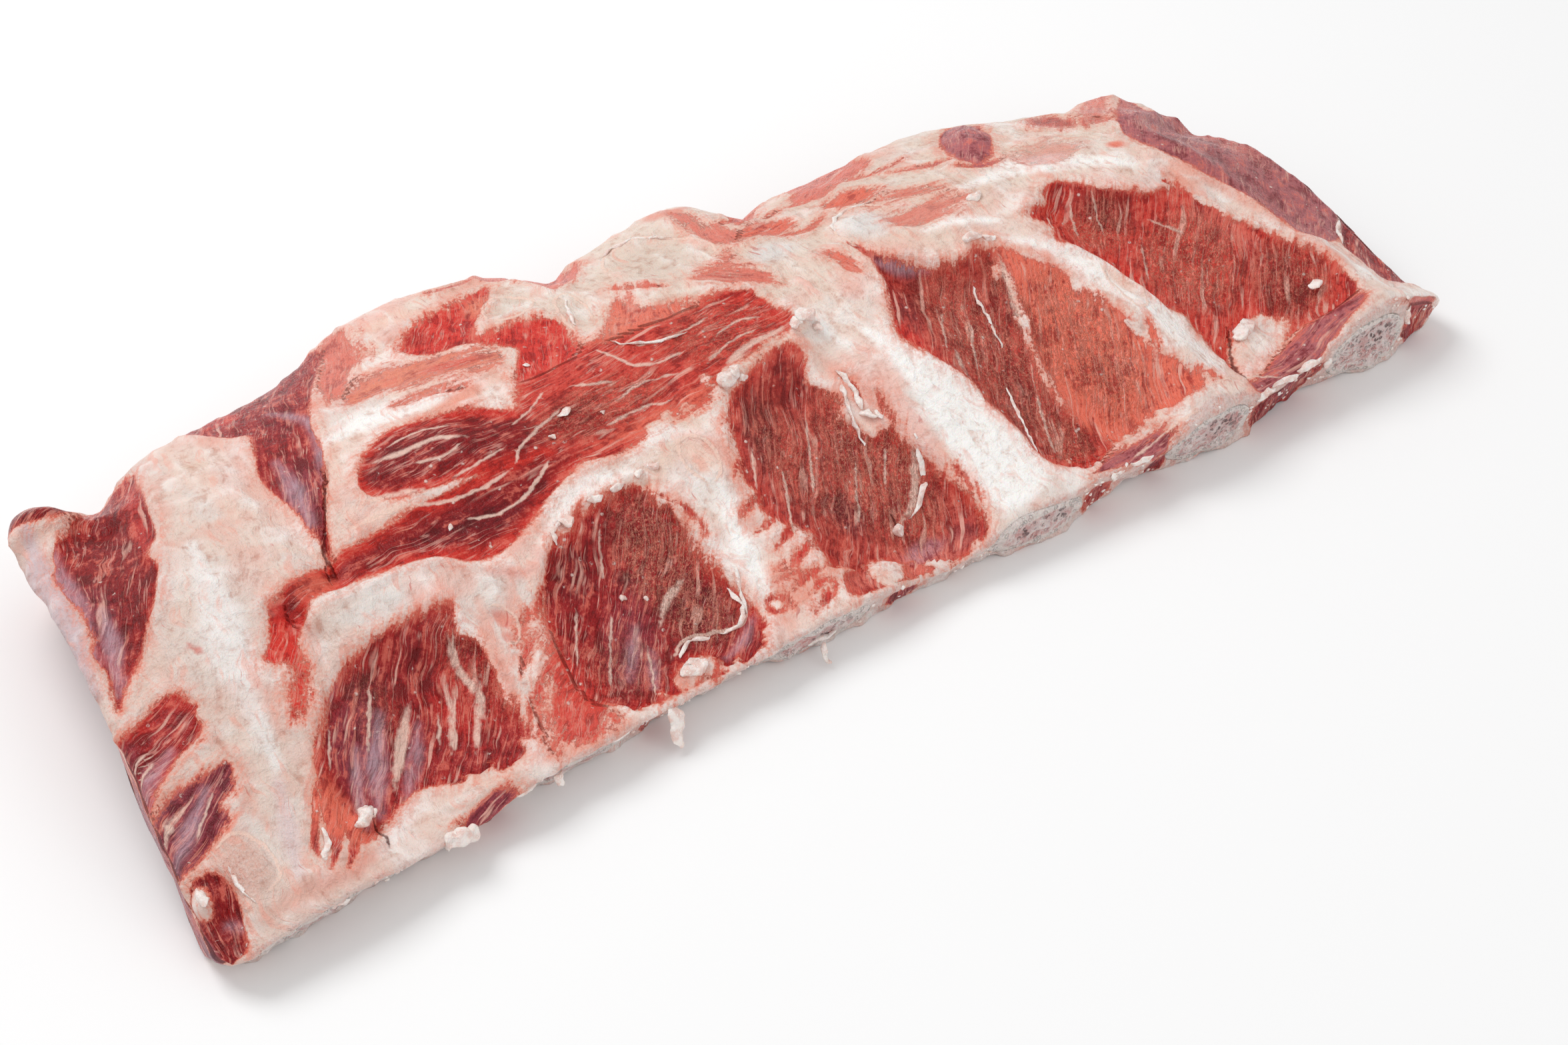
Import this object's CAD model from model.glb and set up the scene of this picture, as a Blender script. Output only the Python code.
import math

import bpy
import numpy as np
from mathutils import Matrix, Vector
from mathutils.kdtree import KDTree


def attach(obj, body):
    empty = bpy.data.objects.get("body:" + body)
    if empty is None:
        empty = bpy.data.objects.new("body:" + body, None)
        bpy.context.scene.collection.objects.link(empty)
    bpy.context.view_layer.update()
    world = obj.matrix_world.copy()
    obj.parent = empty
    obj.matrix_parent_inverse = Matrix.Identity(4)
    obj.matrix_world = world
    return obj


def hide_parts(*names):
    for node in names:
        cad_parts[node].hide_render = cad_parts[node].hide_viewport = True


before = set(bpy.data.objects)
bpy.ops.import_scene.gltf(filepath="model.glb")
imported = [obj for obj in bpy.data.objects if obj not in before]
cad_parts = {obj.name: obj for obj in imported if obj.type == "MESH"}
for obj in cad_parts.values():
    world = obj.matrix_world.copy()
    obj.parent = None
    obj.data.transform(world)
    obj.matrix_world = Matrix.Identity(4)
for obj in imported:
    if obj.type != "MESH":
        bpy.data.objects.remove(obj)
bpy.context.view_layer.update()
print("frame loaded:", len(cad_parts), "nodes")

millimetre = 0.001

# The rack's own sizes, the same as those of its solids.
rack = {
    "middle": (5.4147, 5.7234),
    "chineEdge": [
        (-202, 68), (-187, 75), (-172, 70), (-154, 79), (-106, 89), (-76, 99), (-44, 101), (-24, 97), (-12, 89),
        (8, 90), (38, 92), (50, 80), (76, 82), (104, 81), (134, 77), (165, 68), (190, 68), (206, 58),
    ],
    "sawnEdge": [
        (-215, -91), (-165, -88), (-105, -80), (-48, -77), (0, -75), (75, -75), (105, -76), (143, -74), (226, -68),
    ],
    "leftEnd": (-197, -213),
    "rightEnd": (204, 224),
    "planCornerRadius": 9,
    "restStrip": 7,
    "archRise": (15, 20),
    "archCrown": 0.9,
    "archPower": 1.25,
    "halfLength": 200,
    "thicknessAcross": [(0, 27), (0.12, 30), (0.35, 26), (0.6, 21), (1, 19)],
    "sawnThickness": [
        (-215, 12.5), (-205, 12.8), (-194, 12.8), (-182, 13.6), (-168, 14.5), (-155, 13.8), (-142, 13.2),
        (-125, 13.8), (-114, 13.2), (-104, 12.3), (-86, 12.3), (-72, 13.2), (-56, 14.2), (-44, 13.9), (-32, 13.2),
        (-14, 13), (0, 12.3), (14, 10.7), (26, 10.2), (36, 12), (46, 14.5), (60, 16), (72, 15.8), (84, 16),
        (100, 15.4), (110, 18.5), (120, 21.5), (130, 21), (141, 18.6), (152, 18), (164, 19), (176, 22), (190, 23.6),
        (202, 23.8), (214, 24), (226, 22),
    ],
    "thinning": (0.6, 1.02),
    "sawnLeanFrom": 0.75,
    "sawnLean": [
        (-215, 9.5), (-200, 8.6), (-190, 8.7), (-174, 10.1), (-165, 10.4), (-152, 9.6), (-139, 9), (-124, 9.6),
        (-115, 9.6), (-105, 7.3), (-90, 7.1), (-75, 8.4), (-60, 9.1), (-46, 9.1), (-38, 8.2), (-31, 5.5), (-22, 3.9),
        (-10, 3.8), (6, 4.9), (22, 5.4), (34, 5.6), (44, 3.1), (54, 1.5), (64, 1.4), (73, 3.5), (84, 6.6), (94, 8.3),
        (102, 8.4), (111, 6.3), (120, 4), (130, 2.6), (142, 3.9), (152, 5.3), (163, 7.2), (172, 6), (182, 4),
        (190, 1), (202, 1), (212, 3.6), (226, 4),
    ],
    "leftLean": {"foot": 11, "start": 0.2, "end": 0.65, "fade": 45},
    "ribs": [  # middle line behind and in front, width and thickness in front
        (-149, -186, 40, 8.5), (-74, -104, 36, 8.5), (-14, -22, 38, 9.5),
        (42, 56, 34, 12), (92, 122, 30, 17), (148, 188, 29, 19.5),
    ],
    "ribBehind": (27, 16),
    "ribCover": {"front": 1.6, "behind": 4, "side": 0.3},
    "ribPower": 2.6,
    "ribOverrun": 12,
    "ridge": {"top": 2.2, "under": 2.6, "core": 0.32, "skirt": 0.78},
    "ridgeFade": {"start": 0.88, "share": 0.6, "underBelow": 6},
    "gapHollow": 2.4,
    "capEdge": [
        (-216, 60), (-168, 58), (-152, 15), (-140, -20), (-115, -30), (-60, -23), (-42, -29), (-8, -9),
        (32, 3), (63, 17), (88, 4), (125, 15), (155, 0), (174, 30), (216, 46),
    ],
    "cap": {"height": 3, "overhang": 9},
    "endFall": {"start": 8, "end": 50, "depth": 13},
    "lumps": [  # x, y, width, depth, height
        (-191, 64, 12, 13, 6), (-171, 66, 9, 14, -3), (-62, 88, 22, 14, 3.5), (-13, 84, 8, 12, -4),
        (24, 80, 18, 12, 3), (51, 76, 7, 12, -4), (118, 74, 20, 11, 3), (190, 61, 13, 13, 9),
        (-84, 12, 34, 13, 3.2), (-20, 24, 34, 14, 3), (-134, 14, 5, 26, -3.5), (-194, -76, 12, 10, 2.6),
        (-207, -80, 5, 9, -2), (-132, -84, 9, 6, -2.5), (150, -46, 9, 12, 1.6),
    ],
    "wave": {"height": 0.55, "longWave": 15, "longBend": 1.3, "ripple": 0.33, "shortWave": 6.5, "shortBend": 2.1},
    "fillet": {"sawnTop": 1.3, "sawnUnder": 0.8, "chineTop": 9, "chineUnder": 3, "end": 3.5},
    "endInset": 0.6,
}


def mix(a, b, share):
    return a + (b - a) * share


def smooth(start, end, value):
    share = np.clip((value - start) / (end - start), 0, 1)
    return share * share * (3 - 2 * share)


def lineAt(points, x):
    # a smooth line through points that are in order of x
    p = np.array(points, float)
    last = len(p) - 1
    i = np.clip(np.searchsorted(p[:, 0], x, side="left") - 1, 0, last - 1)
    before = np.maximum(np.arange(last + 1) - 1, 0)
    after = np.minimum(np.arange(last + 1) + 1, last)
    slope = (p[after, 1] - p[before, 1]) / (p[after, 0] - p[before, 0])
    run = p[i + 1, 0] - p[i, 0]
    u = np.clip((x - p[i, 0]) / run, 0, 1)
    rise = (2 * u - 3) * u * u * (p[i, 1] - p[i + 1, 1]) + p[i, 1]
    return rise + run * u * (1 - u) * ((1 - u) * slope[i] - u * slope[i + 1])


def chineY(x):
    return lineAt(rack["chineEdge"], x)


def sawnY(x):
    return lineAt(rack["sawnEdge"], x)


def across(x, y):
    return (chineY(x) - y) / (chineY(x) - sawnY(x))


breadth = float(chineY(0.0) - sawnY(0.0))


def cornerInset(distance, radius):
    short = np.clip(1 - distance / radius, 0, 1)
    return radius * (1 - np.sqrt(1 - short * short))


def fanLines():
    # the ends and ribs fan out towards the sawn edge, as (share along, behind) and (share along, in front)
    lines = [rack["leftEnd"], *[rib[:2] for rib in rack["ribs"]], rack["rightEnd"]]
    first, last = sum(lines[0]), sum(lines[-1])
    shares = [(sum(line) - first) / (last - first) for line in lines]
    return [(s, line[0]) for s, line in zip(shares, lines)], [(s, line[1]) for s, line in zip(shares, lines)]


fanBehind, fanFront = fanLines()


def alongRack(s, t):
    inset = cornerInset(breadth * np.minimum(t, 1 - t), rack["planCornerRadius"])
    return mix(lineAt(fanBehind, s), lineAt(fanFront, s), t) + inset * (1 - 2 * s)


def ribShare(x, t):
    # 1 on the flat of a rib, 0 midway between two
    core, skirt = rack["ridge"]["core"], rack["ridge"]["skirt"]
    share = np.zeros(np.shape(x))
    for behind, front, wide, _ in rack["ribs"]:
        width = mix(rack["ribBehind"][0], wide, t)
        share = np.maximum(share, 1 - smooth(width * core, width * skirt, np.abs(x - mix(behind, front, t))))
    return share


def archAt(x, y):
    strip, half = rack["restStrip"], rack["halfLength"]
    span = chineY(x) - sawnY(x) - lineAt(rack["sawnLean"], x) - 2 * strip
    w = np.clip((chineY(x) - strip - y) / span, 0, 1)
    rise = mix(*rack["archRise"], smooth(-half, half, x))
    return rise * np.abs(np.sin(np.pi * w ** rack["archCrown"])) ** rack["archPower"]


def underside(x, y):
    arch = archAt(x, y)
    unfold = smooth(0, rack["ridgeFade"]["underBelow"], arch)
    return arch + rack["ridge"]["under"] * unfold * (1 - ribShare(x, across(x, y)))


def behindCapEdge(x, y):
    step = 4
    edge = rack["capEdge"]
    slope = (lineAt(edge, x + step) - lineAt(edge, x - step)) / (2 * step)
    return (y - lineAt(edge, x)) / np.hypot(1, slope)


def ribTop(x, y):
    # height of the top of the rib under each place, nothing where there is none
    t = np.clip(across(x, y), 0, 1)
    cover, power = rack["ribCover"], rack["ribPower"]
    top = np.zeros(np.shape(x))
    for behind, front, wide, thick in rack["ribs"]:
        middleX = mix(behind, front, t)
        aside = np.clip(np.abs(x - middleX) / (mix(rack["ribBehind"][0], wide, t) / 2), 0, 1)
        high = mix(rack["ribBehind"][1], thick, t)
        foot = archAt(middleX, mix(chineY(middleX), sawnY(middleX), t)) + mix(cover["behind"], cover["front"], t)
        rise = (1 - aside**power) ** (1 / power)
        top = np.maximum(top, (foot + high / 2 * (1 + rise)) * (aside < 1))
    return top


def topside(x, y):
    t = across(x, y)
    ridge, fade, fall, w = rack["ridge"], rack["ridgeFade"], rack["endFall"], rack["wave"]
    lastBehind, lastFront = rack["ribs"][-1][:2]
    dropped = fall["depth"] * smooth(fall["start"], fall["end"], x - mix(lastBehind, lastFront, t))
    capped = smooth(-rack["cap"]["overhang"], 0, behindCapEdge(x, y))
    share = ribShare(x, t)
    frontFade = 1 - fade["share"] * smooth(fade["start"], 1, t)
    relief = (1 - capped) * frontFade * (ridge["top"] * share - rack["gapHollow"] * (1 - share))
    relief = relief + rack["cap"]["height"] * capped
    for lumpX, lumpY, wide, deep, high in rack["lumps"]:
        relief = relief + high * np.exp(-(((x - lumpX) / wide) ** 2) - ((y - lumpY) / deep) ** 2)
    waves = w["height"] * np.sin(x / w["longWave"] + w["longBend"] * np.sin(y / w["longWave"]))
    waves = waves + w["ripple"] * np.sin(y / w["shortWave"] + w["shortBend"] * np.sin(x / (2 * w["shortWave"])))
    thick = mix(lineAt(rack["thicknessAcross"], t), lineAt(rack["sawnThickness"], x), smooth(*rack["thinning"], t))
    return archAt(x, y) + thick + relief + waves - dropped


def grain(place, size, seed):
    # soft random lumps of one size, from -1 to 1
    table = np.random.default_rng(seed).uniform(-1, 1, (32, 32, 32))
    cell = np.floor(place / size).astype(int)
    part = place / size - cell
    part = part * part * (3 - 2 * part)
    total = np.zeros(len(place))
    for corner in np.ndindex(2, 2, 2):
        at = (cell + corner) % 32
        weight = np.prod(np.where(np.array(corner) == 1, part, 1 - part), axis=1)
        total += weight * table[at[:, 0], at[:, 1], at[:, 2]]
    return total


def rounded(points, closed, steps=5):
    # a smooth line through the points, with a few steps between each two
    p = np.array(points, float)
    count = len(p)
    lines = []
    for i in range(count if closed else count - 1):
        around = [(i + k) % count if closed else min(max(i + k, 0), count - 1) for k in (-1, 0, 1, 2)]
        a, b, c, d = p[around]
        for u in np.arange(steps) / steps:
            bend = (c - a) * u + (2 * a - 5 * b + 4 * c - d) * u**2 + (3 * b - a - 3 * c + d) * u**3
            lines.append(b + bend / 2)
    if not closed:
        lines.append(p[-1])
    return np.array(lines)


def toLine(line, x, y, reach, closed):
    # distance to a line, up to a reach, and whether each place is inside it, with the places that are near
    low, high = line.min(0) - reach, line.max(0) + reach
    near = np.nonzero((x > low[0]) & (x < high[0]) & (y > low[1]) & (y < high[1]))[0]
    px, py = x[near], y[near]
    best = np.full(len(near), float(reach * reach))
    inside = np.zeros(len(near), bool)
    ends = np.roll(line, -1, 0) if closed else line[1:]
    for (ax, ay), (bx, by) in zip(line, ends):
        runX, runY = bx - ax, by - ay
        u = np.clip(((px - ax) * runX + (py - ay) * runY) / max(runX**2 + runY**2, 1e-9), 0, 1)
        best = np.minimum(best, (px - ax - u * runX) ** 2 + (py - ay - u * runY) ** 2)
        if closed and ay != by:
            inside ^= ((ay > py) != (by > py)) & (px < runX * (py - ay) / runY + ax)
    return near, np.sqrt(best), inside


def withinBy(outline, x, y, reach=12):
    # how far each place is inside a smooth closed outline, negative outside
    near, gap, inside = toLine(rounded(outline, True), x, y, reach, True)
    by = np.full(len(x), -float(reach))
    by[near] = np.where(inside, gap, -gap)
    return by


def lineBy(points, wide, x, y, reach=6):
    # how far each place is inside a band along an open line, narrower at both its ends
    line = rounded(points, False)
    by = np.full(len(x), -float(reach))
    near, gap, _ = toLine(line, x, y, reach + wide, False)
    ends = np.minimum(np.hypot(x[near] - line[0, 0], y[near] - line[0, 1]),
                      np.hypot(x[near] - line[-1, 0], y[near] - line[-1, 1]))
    by[near] = wide * (0.25 + 0.75 * smooth(0, 6 * wide, ends)) - gap
    return by


def strokes(lines, x, y, reach=5):
    # signed distance to the nearest of some thin lines, and its half width there, none away from it
    gapTo, wideAt = np.full(len(x), float(reach)), np.full(len(x), -1.0)
    for wide, points, *_ in lines:
        line = rounded(points, False)
        low, high = line.min(0) - reach, line.max(0) + reach
        near = np.nonzero((x > low[0]) & (x < high[0]) & (y > low[1]) & (y < high[1]))[0]
        px, py = x[near], y[near]
        gap = np.full(len(near), float(reach))
        for (ax, ay), (bx, by) in zip(line, line[1:]):
            runX, runY = bx - ax, by - ay
            u = np.clip(((px - ax) * runX + (py - ay) * runY) / (runX**2 + runY**2), 0, 1)
            far = np.hypot(px - ax - u * runX, py - ay - u * runY)
            side = np.where(runX * (py - ay) - runY * (px - ax) < 0, -1, 1)
            gap = np.where(far < np.abs(gap), side * far, gap)
        ends = np.minimum(np.hypot(px - line[0, 0], py - line[0, 1]), np.hypot(px - line[-1, 0], py - line[-1, 1]))
        here = wide * smooth(0, 8 * wide, ends) - 1.5 * np.maximum(np.abs(gap) - 1.0, 0) - 0.03
        nearer = here - np.abs(gap) > wideAt[near] - np.abs(gapTo[near])
        gapTo[near[nearer]], wideAt[near[nearer]] = gap[nearer], here[nearer]
    return gapTo, wideAt


def paint(red, green, blue):
    # a colour as a screen shows it, turned to light
    share = np.array([red, green, blue]) / 255
    return np.where(share <= 0.04045, share / 12.92, ((share + 0.055) / 1.055) ** 2.4)


# What shows on top, as seen from above. Lean: fibre direction in degrees, colour, fringe and sink in mm.
colours = {
    "deep": paint(138, 15, 19), "lean": paint(156, 29, 31), "brown": paint(184, 66, 56), "maroon": paint(104, 18, 28),
    "bright": paint(214, 52, 42), "warm": paint(206, 66, 54), "orange": paint(232, 142, 114),
    "orangeRed": paint(234, 114, 90), "purple": paint(138, 50, 62), "plum": paint(122, 36, 48),
    "mauve": paint(176, 98, 102), "rose": paint(226, 122, 106), "violet": paint(200, 180, 196), "rim": paint(206, 48, 36),
    "white": paint(252, 251, 250), "lilac": paint(238, 214, 219), "cream": paint(237, 214, 202), "pearl": paint(251, 247, 243),
    "peach": paint(238, 204, 188), "pink": paint(237, 191, 179), "blush": paint(231, 156, 136),
    "grey": paint(220, 200, 186), "cool": paint(224, 216, 211), "sand": paint(224, 190, 166),
    "dust": paint(230, 210, 204), "shade": paint(206, 184, 172), "beige": paint(226, 204, 188),
}

leanPatches = {
    "leftWindow": (62, "deep", 0.8, 1.3, [
        (-157, 70), (-160, 60), (-161, 52), (-164, 42), (-166, 33), (-172, 26), (-172, 20), (-177, 11), (-183, 4),
        (-189, -3), (-196, -9), (-202, -15), (-199, -4), (-199, 4), (-196, 11), (-195, 36), (-192, 43), (-190, 49),
        (-184, 55), (-176, 62), (-168, 70)]),
    "leftBand": (15, "lean", 0.8, 0.8, [
        (-211, -25), (-200, -21.5), (-192, -17), (-187, -20), (-184.5, -27), (-188, -34), (-195, -34.5),
        (-202, -38.5), (-212, -45), (-213, -35)]),
    "leftStripes": (25, "purple", 0.8, 0.8, [
        (-214, -48), (-205, -43.5), (-197, -41.5), (-190, -43), (-185, -43), (-187, -50), (-192, -52),
        (-192, -56.5), (-200, -59.5), (-209, -61), (-215, -61), (-214, -54)]),
    "leftCorner": (80, "deep", 0.6, 1.0, [
        (-207.6, -63.5), (-202, -66), (-201, -75), (-203, -82), (-206, -88), (-213, -87), (-215, -78), (-213, -70)]),
    "flap": (66, "lean", 0.8, 0.6, [
        (-134, 67), (-130, 60), (-126, 57), (-129, 46), (-132.5, 36), (-131, 20), (-131.4, 5), (-132, -4),
        (-128, 7), (-122, 18), (-117.5, 28), (-113, 37), (-109.5, 50), (-102.5, 63), (-94.5, 75), (-86.5, 86),
        (-92, 92), (-104, 88), (-120, 84), (-136, 80)]),
    "lowerLobe": (4, "deep", 0.8, 0.5, [
        (-155, -10), (-148, -5.6), (-132, -2), (-118, 0), (-105, 1.5), (-90, 2), (-75, 3), (-60, 3), (-50, -2),
        (-61, -8), (-72, -12.5), (-81, -17), (-91, -20.5), (-99, -19), (-107, -14), (-121, -11.5), (-141, -11.5),
        (-149, -16)]),
    "upperLobe": (4, "deep", 0.7, 0.5, [
        (-113.5, 13), (-110, 20.6), (-103, 27), (-95, 29.5), (-84, 28.5), (-76, 27.5), (-69, 24), (-60, 17),
        (-48, 14), (-50, 0), (-66, 0), (-80, 2), (-95, 4), (-108, 7)]),
    "belly": (4, "warm", 1.3, 0.4, [
        (-66, 12), (-60, 19), (-55, 27), (-46, 33), (-33, 30), (-20, 27.5), (-5, 26), (8, 26.5), (16, 27),
        (23, 23), (25, 15), (28, 10), (24, 5), (12, 3.5), (-4, 0), (-13, -5.5), (-26, -4), (-40, -7.5), (-52, -6),
        (-62, 0)]),
    "upperLimb": (58, "bright", 1.5, 0.5, [
        (-55, 27), (-50, 35), (-46.7, 41), (-52, 47), (-58, 53), (-67, 54), (-72, 59), (-73.5, 64), (-69, 69),
        (-62, 72), (-48, 75), (-35, 78), (-38, 72), (-44, 66), (-53, 55), (-46, 53.5), (-37, 53), (-30, 48),
        (-30, 41), (-32, 35), (-33, 26), (-42, 22)]),
    "redFringe": (58, "bright", 1.6, 0.4, [
        (-153, -7), (-148, -8), (-149, -16), (-151.5, -19), (-152.6, -25), (-155.3, -32.8), (-159.8, -38.3),
        (-165, -41), (-162, -34), (-158, -27), (-163.5, -22.5), (-159, -18), (-155.5, -12)]),
    "windowOne": (52, "lean", 1.2, 1.5, [
        (-151, -35), (-145, -30), (-137, -28.7), (-127, -27.8), (-111, -27), (-112, -34), (-109, -38),
        (-109, -46), (-111, -56), (-110, -66), (-112, -70), (-118, -74), (-125, -73), (-133, -69), (-138, -66.5),
        (-144, -65.5), (-150, -68), (-156, -72), (-162, -76), (-168, -77), (-169, -71), (-167, -62),
        (-163, -54), (-161, -48), (-157.6, -42.8)]),
    "windowTwo": (50, "lean", 1.4, 1.5, [
        (-78.9, -26), (-73, -22), (-68.9, -22.8), (-64.4, -18.5), (-53.3, -17.5), (-43.3, -18), (-40, -24),
        (-38.3, -31), (-38.5, -40), (-36.7, -50.6), (-35, -61.7), (-36.7, -72), (-47, -76), (-64, -75),
        (-78, -74.5), (-85, -73), (-92, -69), (-94, -60), (-92, -51), (-90, -43), (-87.8, -36),
        (-83.3, -31.7)]),
    "windowThree": (58, "brown", 1.4, 1.5, [
        (-4, -6), (0.6, -4), (7.2, -1.2), (18.3, 1), (22.8, -1.7), (22.5, -10), (26, -18), (27, -28),
        (33.9, -31.7), (35, -38), (37, -43), (39.4, -52.8), (42, -62), (38.5, -72), (18, -73.5), (4, -73),
        (-6, -73), (-9, -70), (-8, -66), (-9, -62), (-8, -58), (-9, -54), (-8, -50), (-12, -46), (-15, -42),
        (-16, -38), (-15, -34), (-16, -30), (-14.5, -25), (-12.5, -19), (-9.4, -12)]),
    "windowFour": (62, "brown", 0.9, 1.5, [
        (61.7, 20.6), (65, 16), (75, 6), (79.4, 4), (85, 2.8), (95, 2.2), (96, -1.7), (93.9, -8.3),
        (91.7, -17.2), (88.3, -28.3), (86, -36), (87.5, -50.6), (92, -62), (85, -67.5), (77, -69.5), (73, -66),
        (67.5, -61), (66, -50.6), (62.8, -39.4), (61.5, -32), (56, -22.8), (51.7, -12.8), (53.9, -3.9),
        (60.6, 7.2), (61.7, 12.8)]),
    "windowFourRight": (62, "orangeRed", 1.5, 1.0, [
        (96.7, 1.7), (103.3, -6), (110, -12.8), (111, -20.6), (114.4, -26), (117.8, -38.3), (118, -48.3),
        (122.2, -55), (125.6, -62.8), (121, -66.5), (110, -66), (103, -63), (94, -63.5), (88.5, -55),
        (87.5, -42), (89, -30), (92.5, -20), (95.6, -9)]),
    "windowFive": (50, "warm", 1.0, 1.5, [
        (113.3, 7.2), (123.3, 9.4), (124.4, 13), (131, 14), (136.7, 9.4), (142.2, 3.9), (149, -0.6),
        (156.7, -2.8), (161.5, -1), (164.4, -6), (167.8, -15), (174.4, -22.8), (182.2, -33.9), (187.8, -41.7),
        (190.6, -50.6), (191, -59.4), (184.4, -61.7), (174.4, -61.7), (166.7, -58.3), (155, -62), (145, -66),
        (140.6, -62), (138.9, -50.6), (137.8, -39.4), (133.3, -35), (128.9, -26), (123.3, -12.8), (115.6, -5),
        (117.8, -0.6)]),
    "edgeStrip": (8, "mauve", 0.7, 0.2, [
        (140, -68.3), (146, -66), (152.2, -63.5), (160, -61), (167.8, -59.4), (176, -61), (184.4, -61.5),
        (191, -61.7), (188, -65), (174.4, -69), (161, -74), (150, -76), (142, -75)]),
    "edgeStripLeft": (8, "mauve", 1.2, 0.2, [
        (76, -73), (84, -69), (92, -67), (100, -67), (106, -69), (108, -73), (104, -77), (92, -78), (80, -77)]),
    "rightEnd": (50, "mauve", 0.8, 0.4, [
        (163.3, 18.3), (166.7, 27.2), (170, 33), (187.8, 51.7), (196, 60), (203, 70), (214, 66), (218, 40),
        (218, 10), (219, -10), (219, -26), (205.6, -36), (192.2, -37.2), (187.8, -33.9), (182.2, -18.3),
        (172.2, -1.7)]),
    "rightCorner": (50, "lean", 0.8, 0.8, [
        (205.6, -36.5), (215.6, -26), (224, -30), (230, -43), (230, -53), (212, -56), (207.8, -54),
        (205.6, -43)]),
    "capSpotOne": (-40, "rose", 3.0, 0.3, [
        (12.8, 37.2), (21.7, 38.5), (28, 33), (32, 27), (29, 24.5), (24, 27.5), (18, 31.5)]),
    "capSpotTwo": (10, "orangeRed", 2.8, 0.3, [
        (30, 48), (36, 50), (47, 54.5), (56, 51), (48.3, 45), (38, 46.5)]),
    "capSpotThree": (10, "orangeRed", 2.8, 0.3, [
        (67.2, 49.4), (72, 52), (79.4, 52), (85.5, 46), (79.4, 42.5), (73, 45)]),
    "capSpotFour": (-16, "rose", 2.8, 0.2, [
        (76, 39.5), (85, 39.5), (92, 37), (99, 31.5), (92, 32.5), (85, 35.5)]),
    "capSpotFive": (-70, "orangeRed", 1.0, 0.2, [(50.5, 27), (54, 25), (57, 20), (56, 14), (53, 16), (53, 21)]),
    "orangeStrip": (-8, "orange", 3.0, 0.2, [
        (-97, 50), (-93.3, 57), (-83.3, 57.8), (-75.6, 54.4), (-66.7, 51.7), (-57.8, 48.3), (-52.2, 43.9),
        (-53.3, 39.4), (-61, 38.3), (-65, 42), (-71, 43), (-79, 44.4), (-86.7, 48), (-93, 49)]),
    "capTongue": (60, "orangeRed", 3.2, 0.2, [
        (-26, 26), (-20, 34), (-14, 42), (-7.8, 45), (-8.9, 37), (-4, 33), (4, 29), (4, 25), (-12, 24)]),
    "chineRed": (55, "rose", 2.6, 0.3, [
        (-32, 84), (-27, 96), (-16, 94), (-8, 90), (-3, 79), (-10, 70), (-18, 64), (-22, 64), (-24, 75)]),
    "flapSide": (62, "rose", 3.2, 0.2, [
        (-86, 88), (-80, 90), (-82, 72), (-88, 66), (-93, 58), (-99, 55), (-101, 61), (-94, 74)]),
    "pinkBand": (-4, "rose", 3.4, 0.1, [(77, 28), (90, 28.5), (101, 25), (101, 21.5), (88, 20), (79, 21)]),
    "chineKnob": (52, "mauve", 1.2, -0.6, [
        (114.4, 47), (118.9, 58), (126.7, 66), (138, 68), (133, 51.7), (127, 41.7), (118, 34.4), (114, 40)]),
    "chineBrown": (55, "brown", 3.2, 0.2, [
        (148.9, 49), (156, 57), (161, 48), (161, 40), (168, 42), (166, 32), (157, 37), (152, 42)]),
    "flamesTwo": (42, "bright", 3.2, 0.3, [
        (-90, -43), (-94, -50), (-98, -58), (-102, -65), (-105, -72), (-100, -77), (-92, -76), (-86, -74),
        (-90, -60), (-88, -48)]),
    "capStreak": (80, "rose", 2.6, 0.1, [(29, 77), (34, 73), (33, 60), (38, 52), (34, 46), (29, 50), (28, 62)]),
    "notchSide": (50, "rose", 2.0, 0.1, [(40, 56), (48, 60), (55, 70), (63, 80), (56, 82), (48, 72), (42, 64)]),
    "topRose": (30, "rose", 2.2, 0.1, [
        (64, 62), (71, 70), (68, 79), (80, 82), (96, 80), (99, 68), (90, 63), (80, 60), (72, 56)]),
    "streakRight": (50, "rose", 2.8, 0.2, [
        (168, 36), (176, 44), (186, 56), (198, 68), (190, 69), (180, 60), (170, 50), (164, 42)]),
    "roseMottle": (-16, "rose", 3.2, 0.1, [(129, 33), (140, 35), (148, 29), (145, 23), (136, 22), (129, 26)]),
    "edgeMauve": (20, "purple", 1.6, 0.3, [
        (-141, -84), (-137, -80), (-131, -77.6), (-126, -77.4), (-122.6, -80), (-124, -83.5), (-132, -86.5)]),
    "knobRed": (50, "deep", 0.8, 0.0, [(196, 67), (201, 75), (211, 73), (214, 62), (207, 57), (200, 60)]),
    "cornerKnob": (40, "deep", 0.8, 0.2, [(-198, 62), (-194, 68), (-184, 69), (-177, 64), (-184, 60), (-192, 60)]),
}

# Patches where fat veils the lean: the share of lean that shows.
veiled = {
    "flamesTwo": 0.8, "chineRed": 0.9, "flapSide": 0.7, "pinkBand": 0.5, "capStreak": 0.65,
    "notchSide": 0.9, "topRose": 0.85, "streakRight": 0.65, "roseMottle": 0.25, "capSpotOne": 0.75, "capSpotTwo": 0.85,
    "capSpotThree": 0.8, "capSpotFour": 0.6, "capSpotFive": 0.8, "orangeStrip": 0.7, "capTongue": 0.8, "chineBrown": 0.7,
}
# Patches of smooth, fine muscle, and those with a bright rim.
calm = {
    "lowerLobe": 0.62, "upperLobe": 0.62, "belly": 0.9, "upperLimb": 0.9, "leftWindow": 0.8, "flap": 0.8, "rightEnd": 0.6,
    "chineKnob": 0.6, "redFringe": 0.8, "leftBand": 0.8,
}
rimmed = {
    "lowerLobe": 0.9, "upperLobe": 0.9, "leftWindow": 0.4, "windowOne": 0.3, "windowTwo": 0.5, "windowThree": 0.4,
    "leftBand": 0.5, "windowFive": 0.5, "windowFour": 0.3, "belly": 0.4,
}

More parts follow.
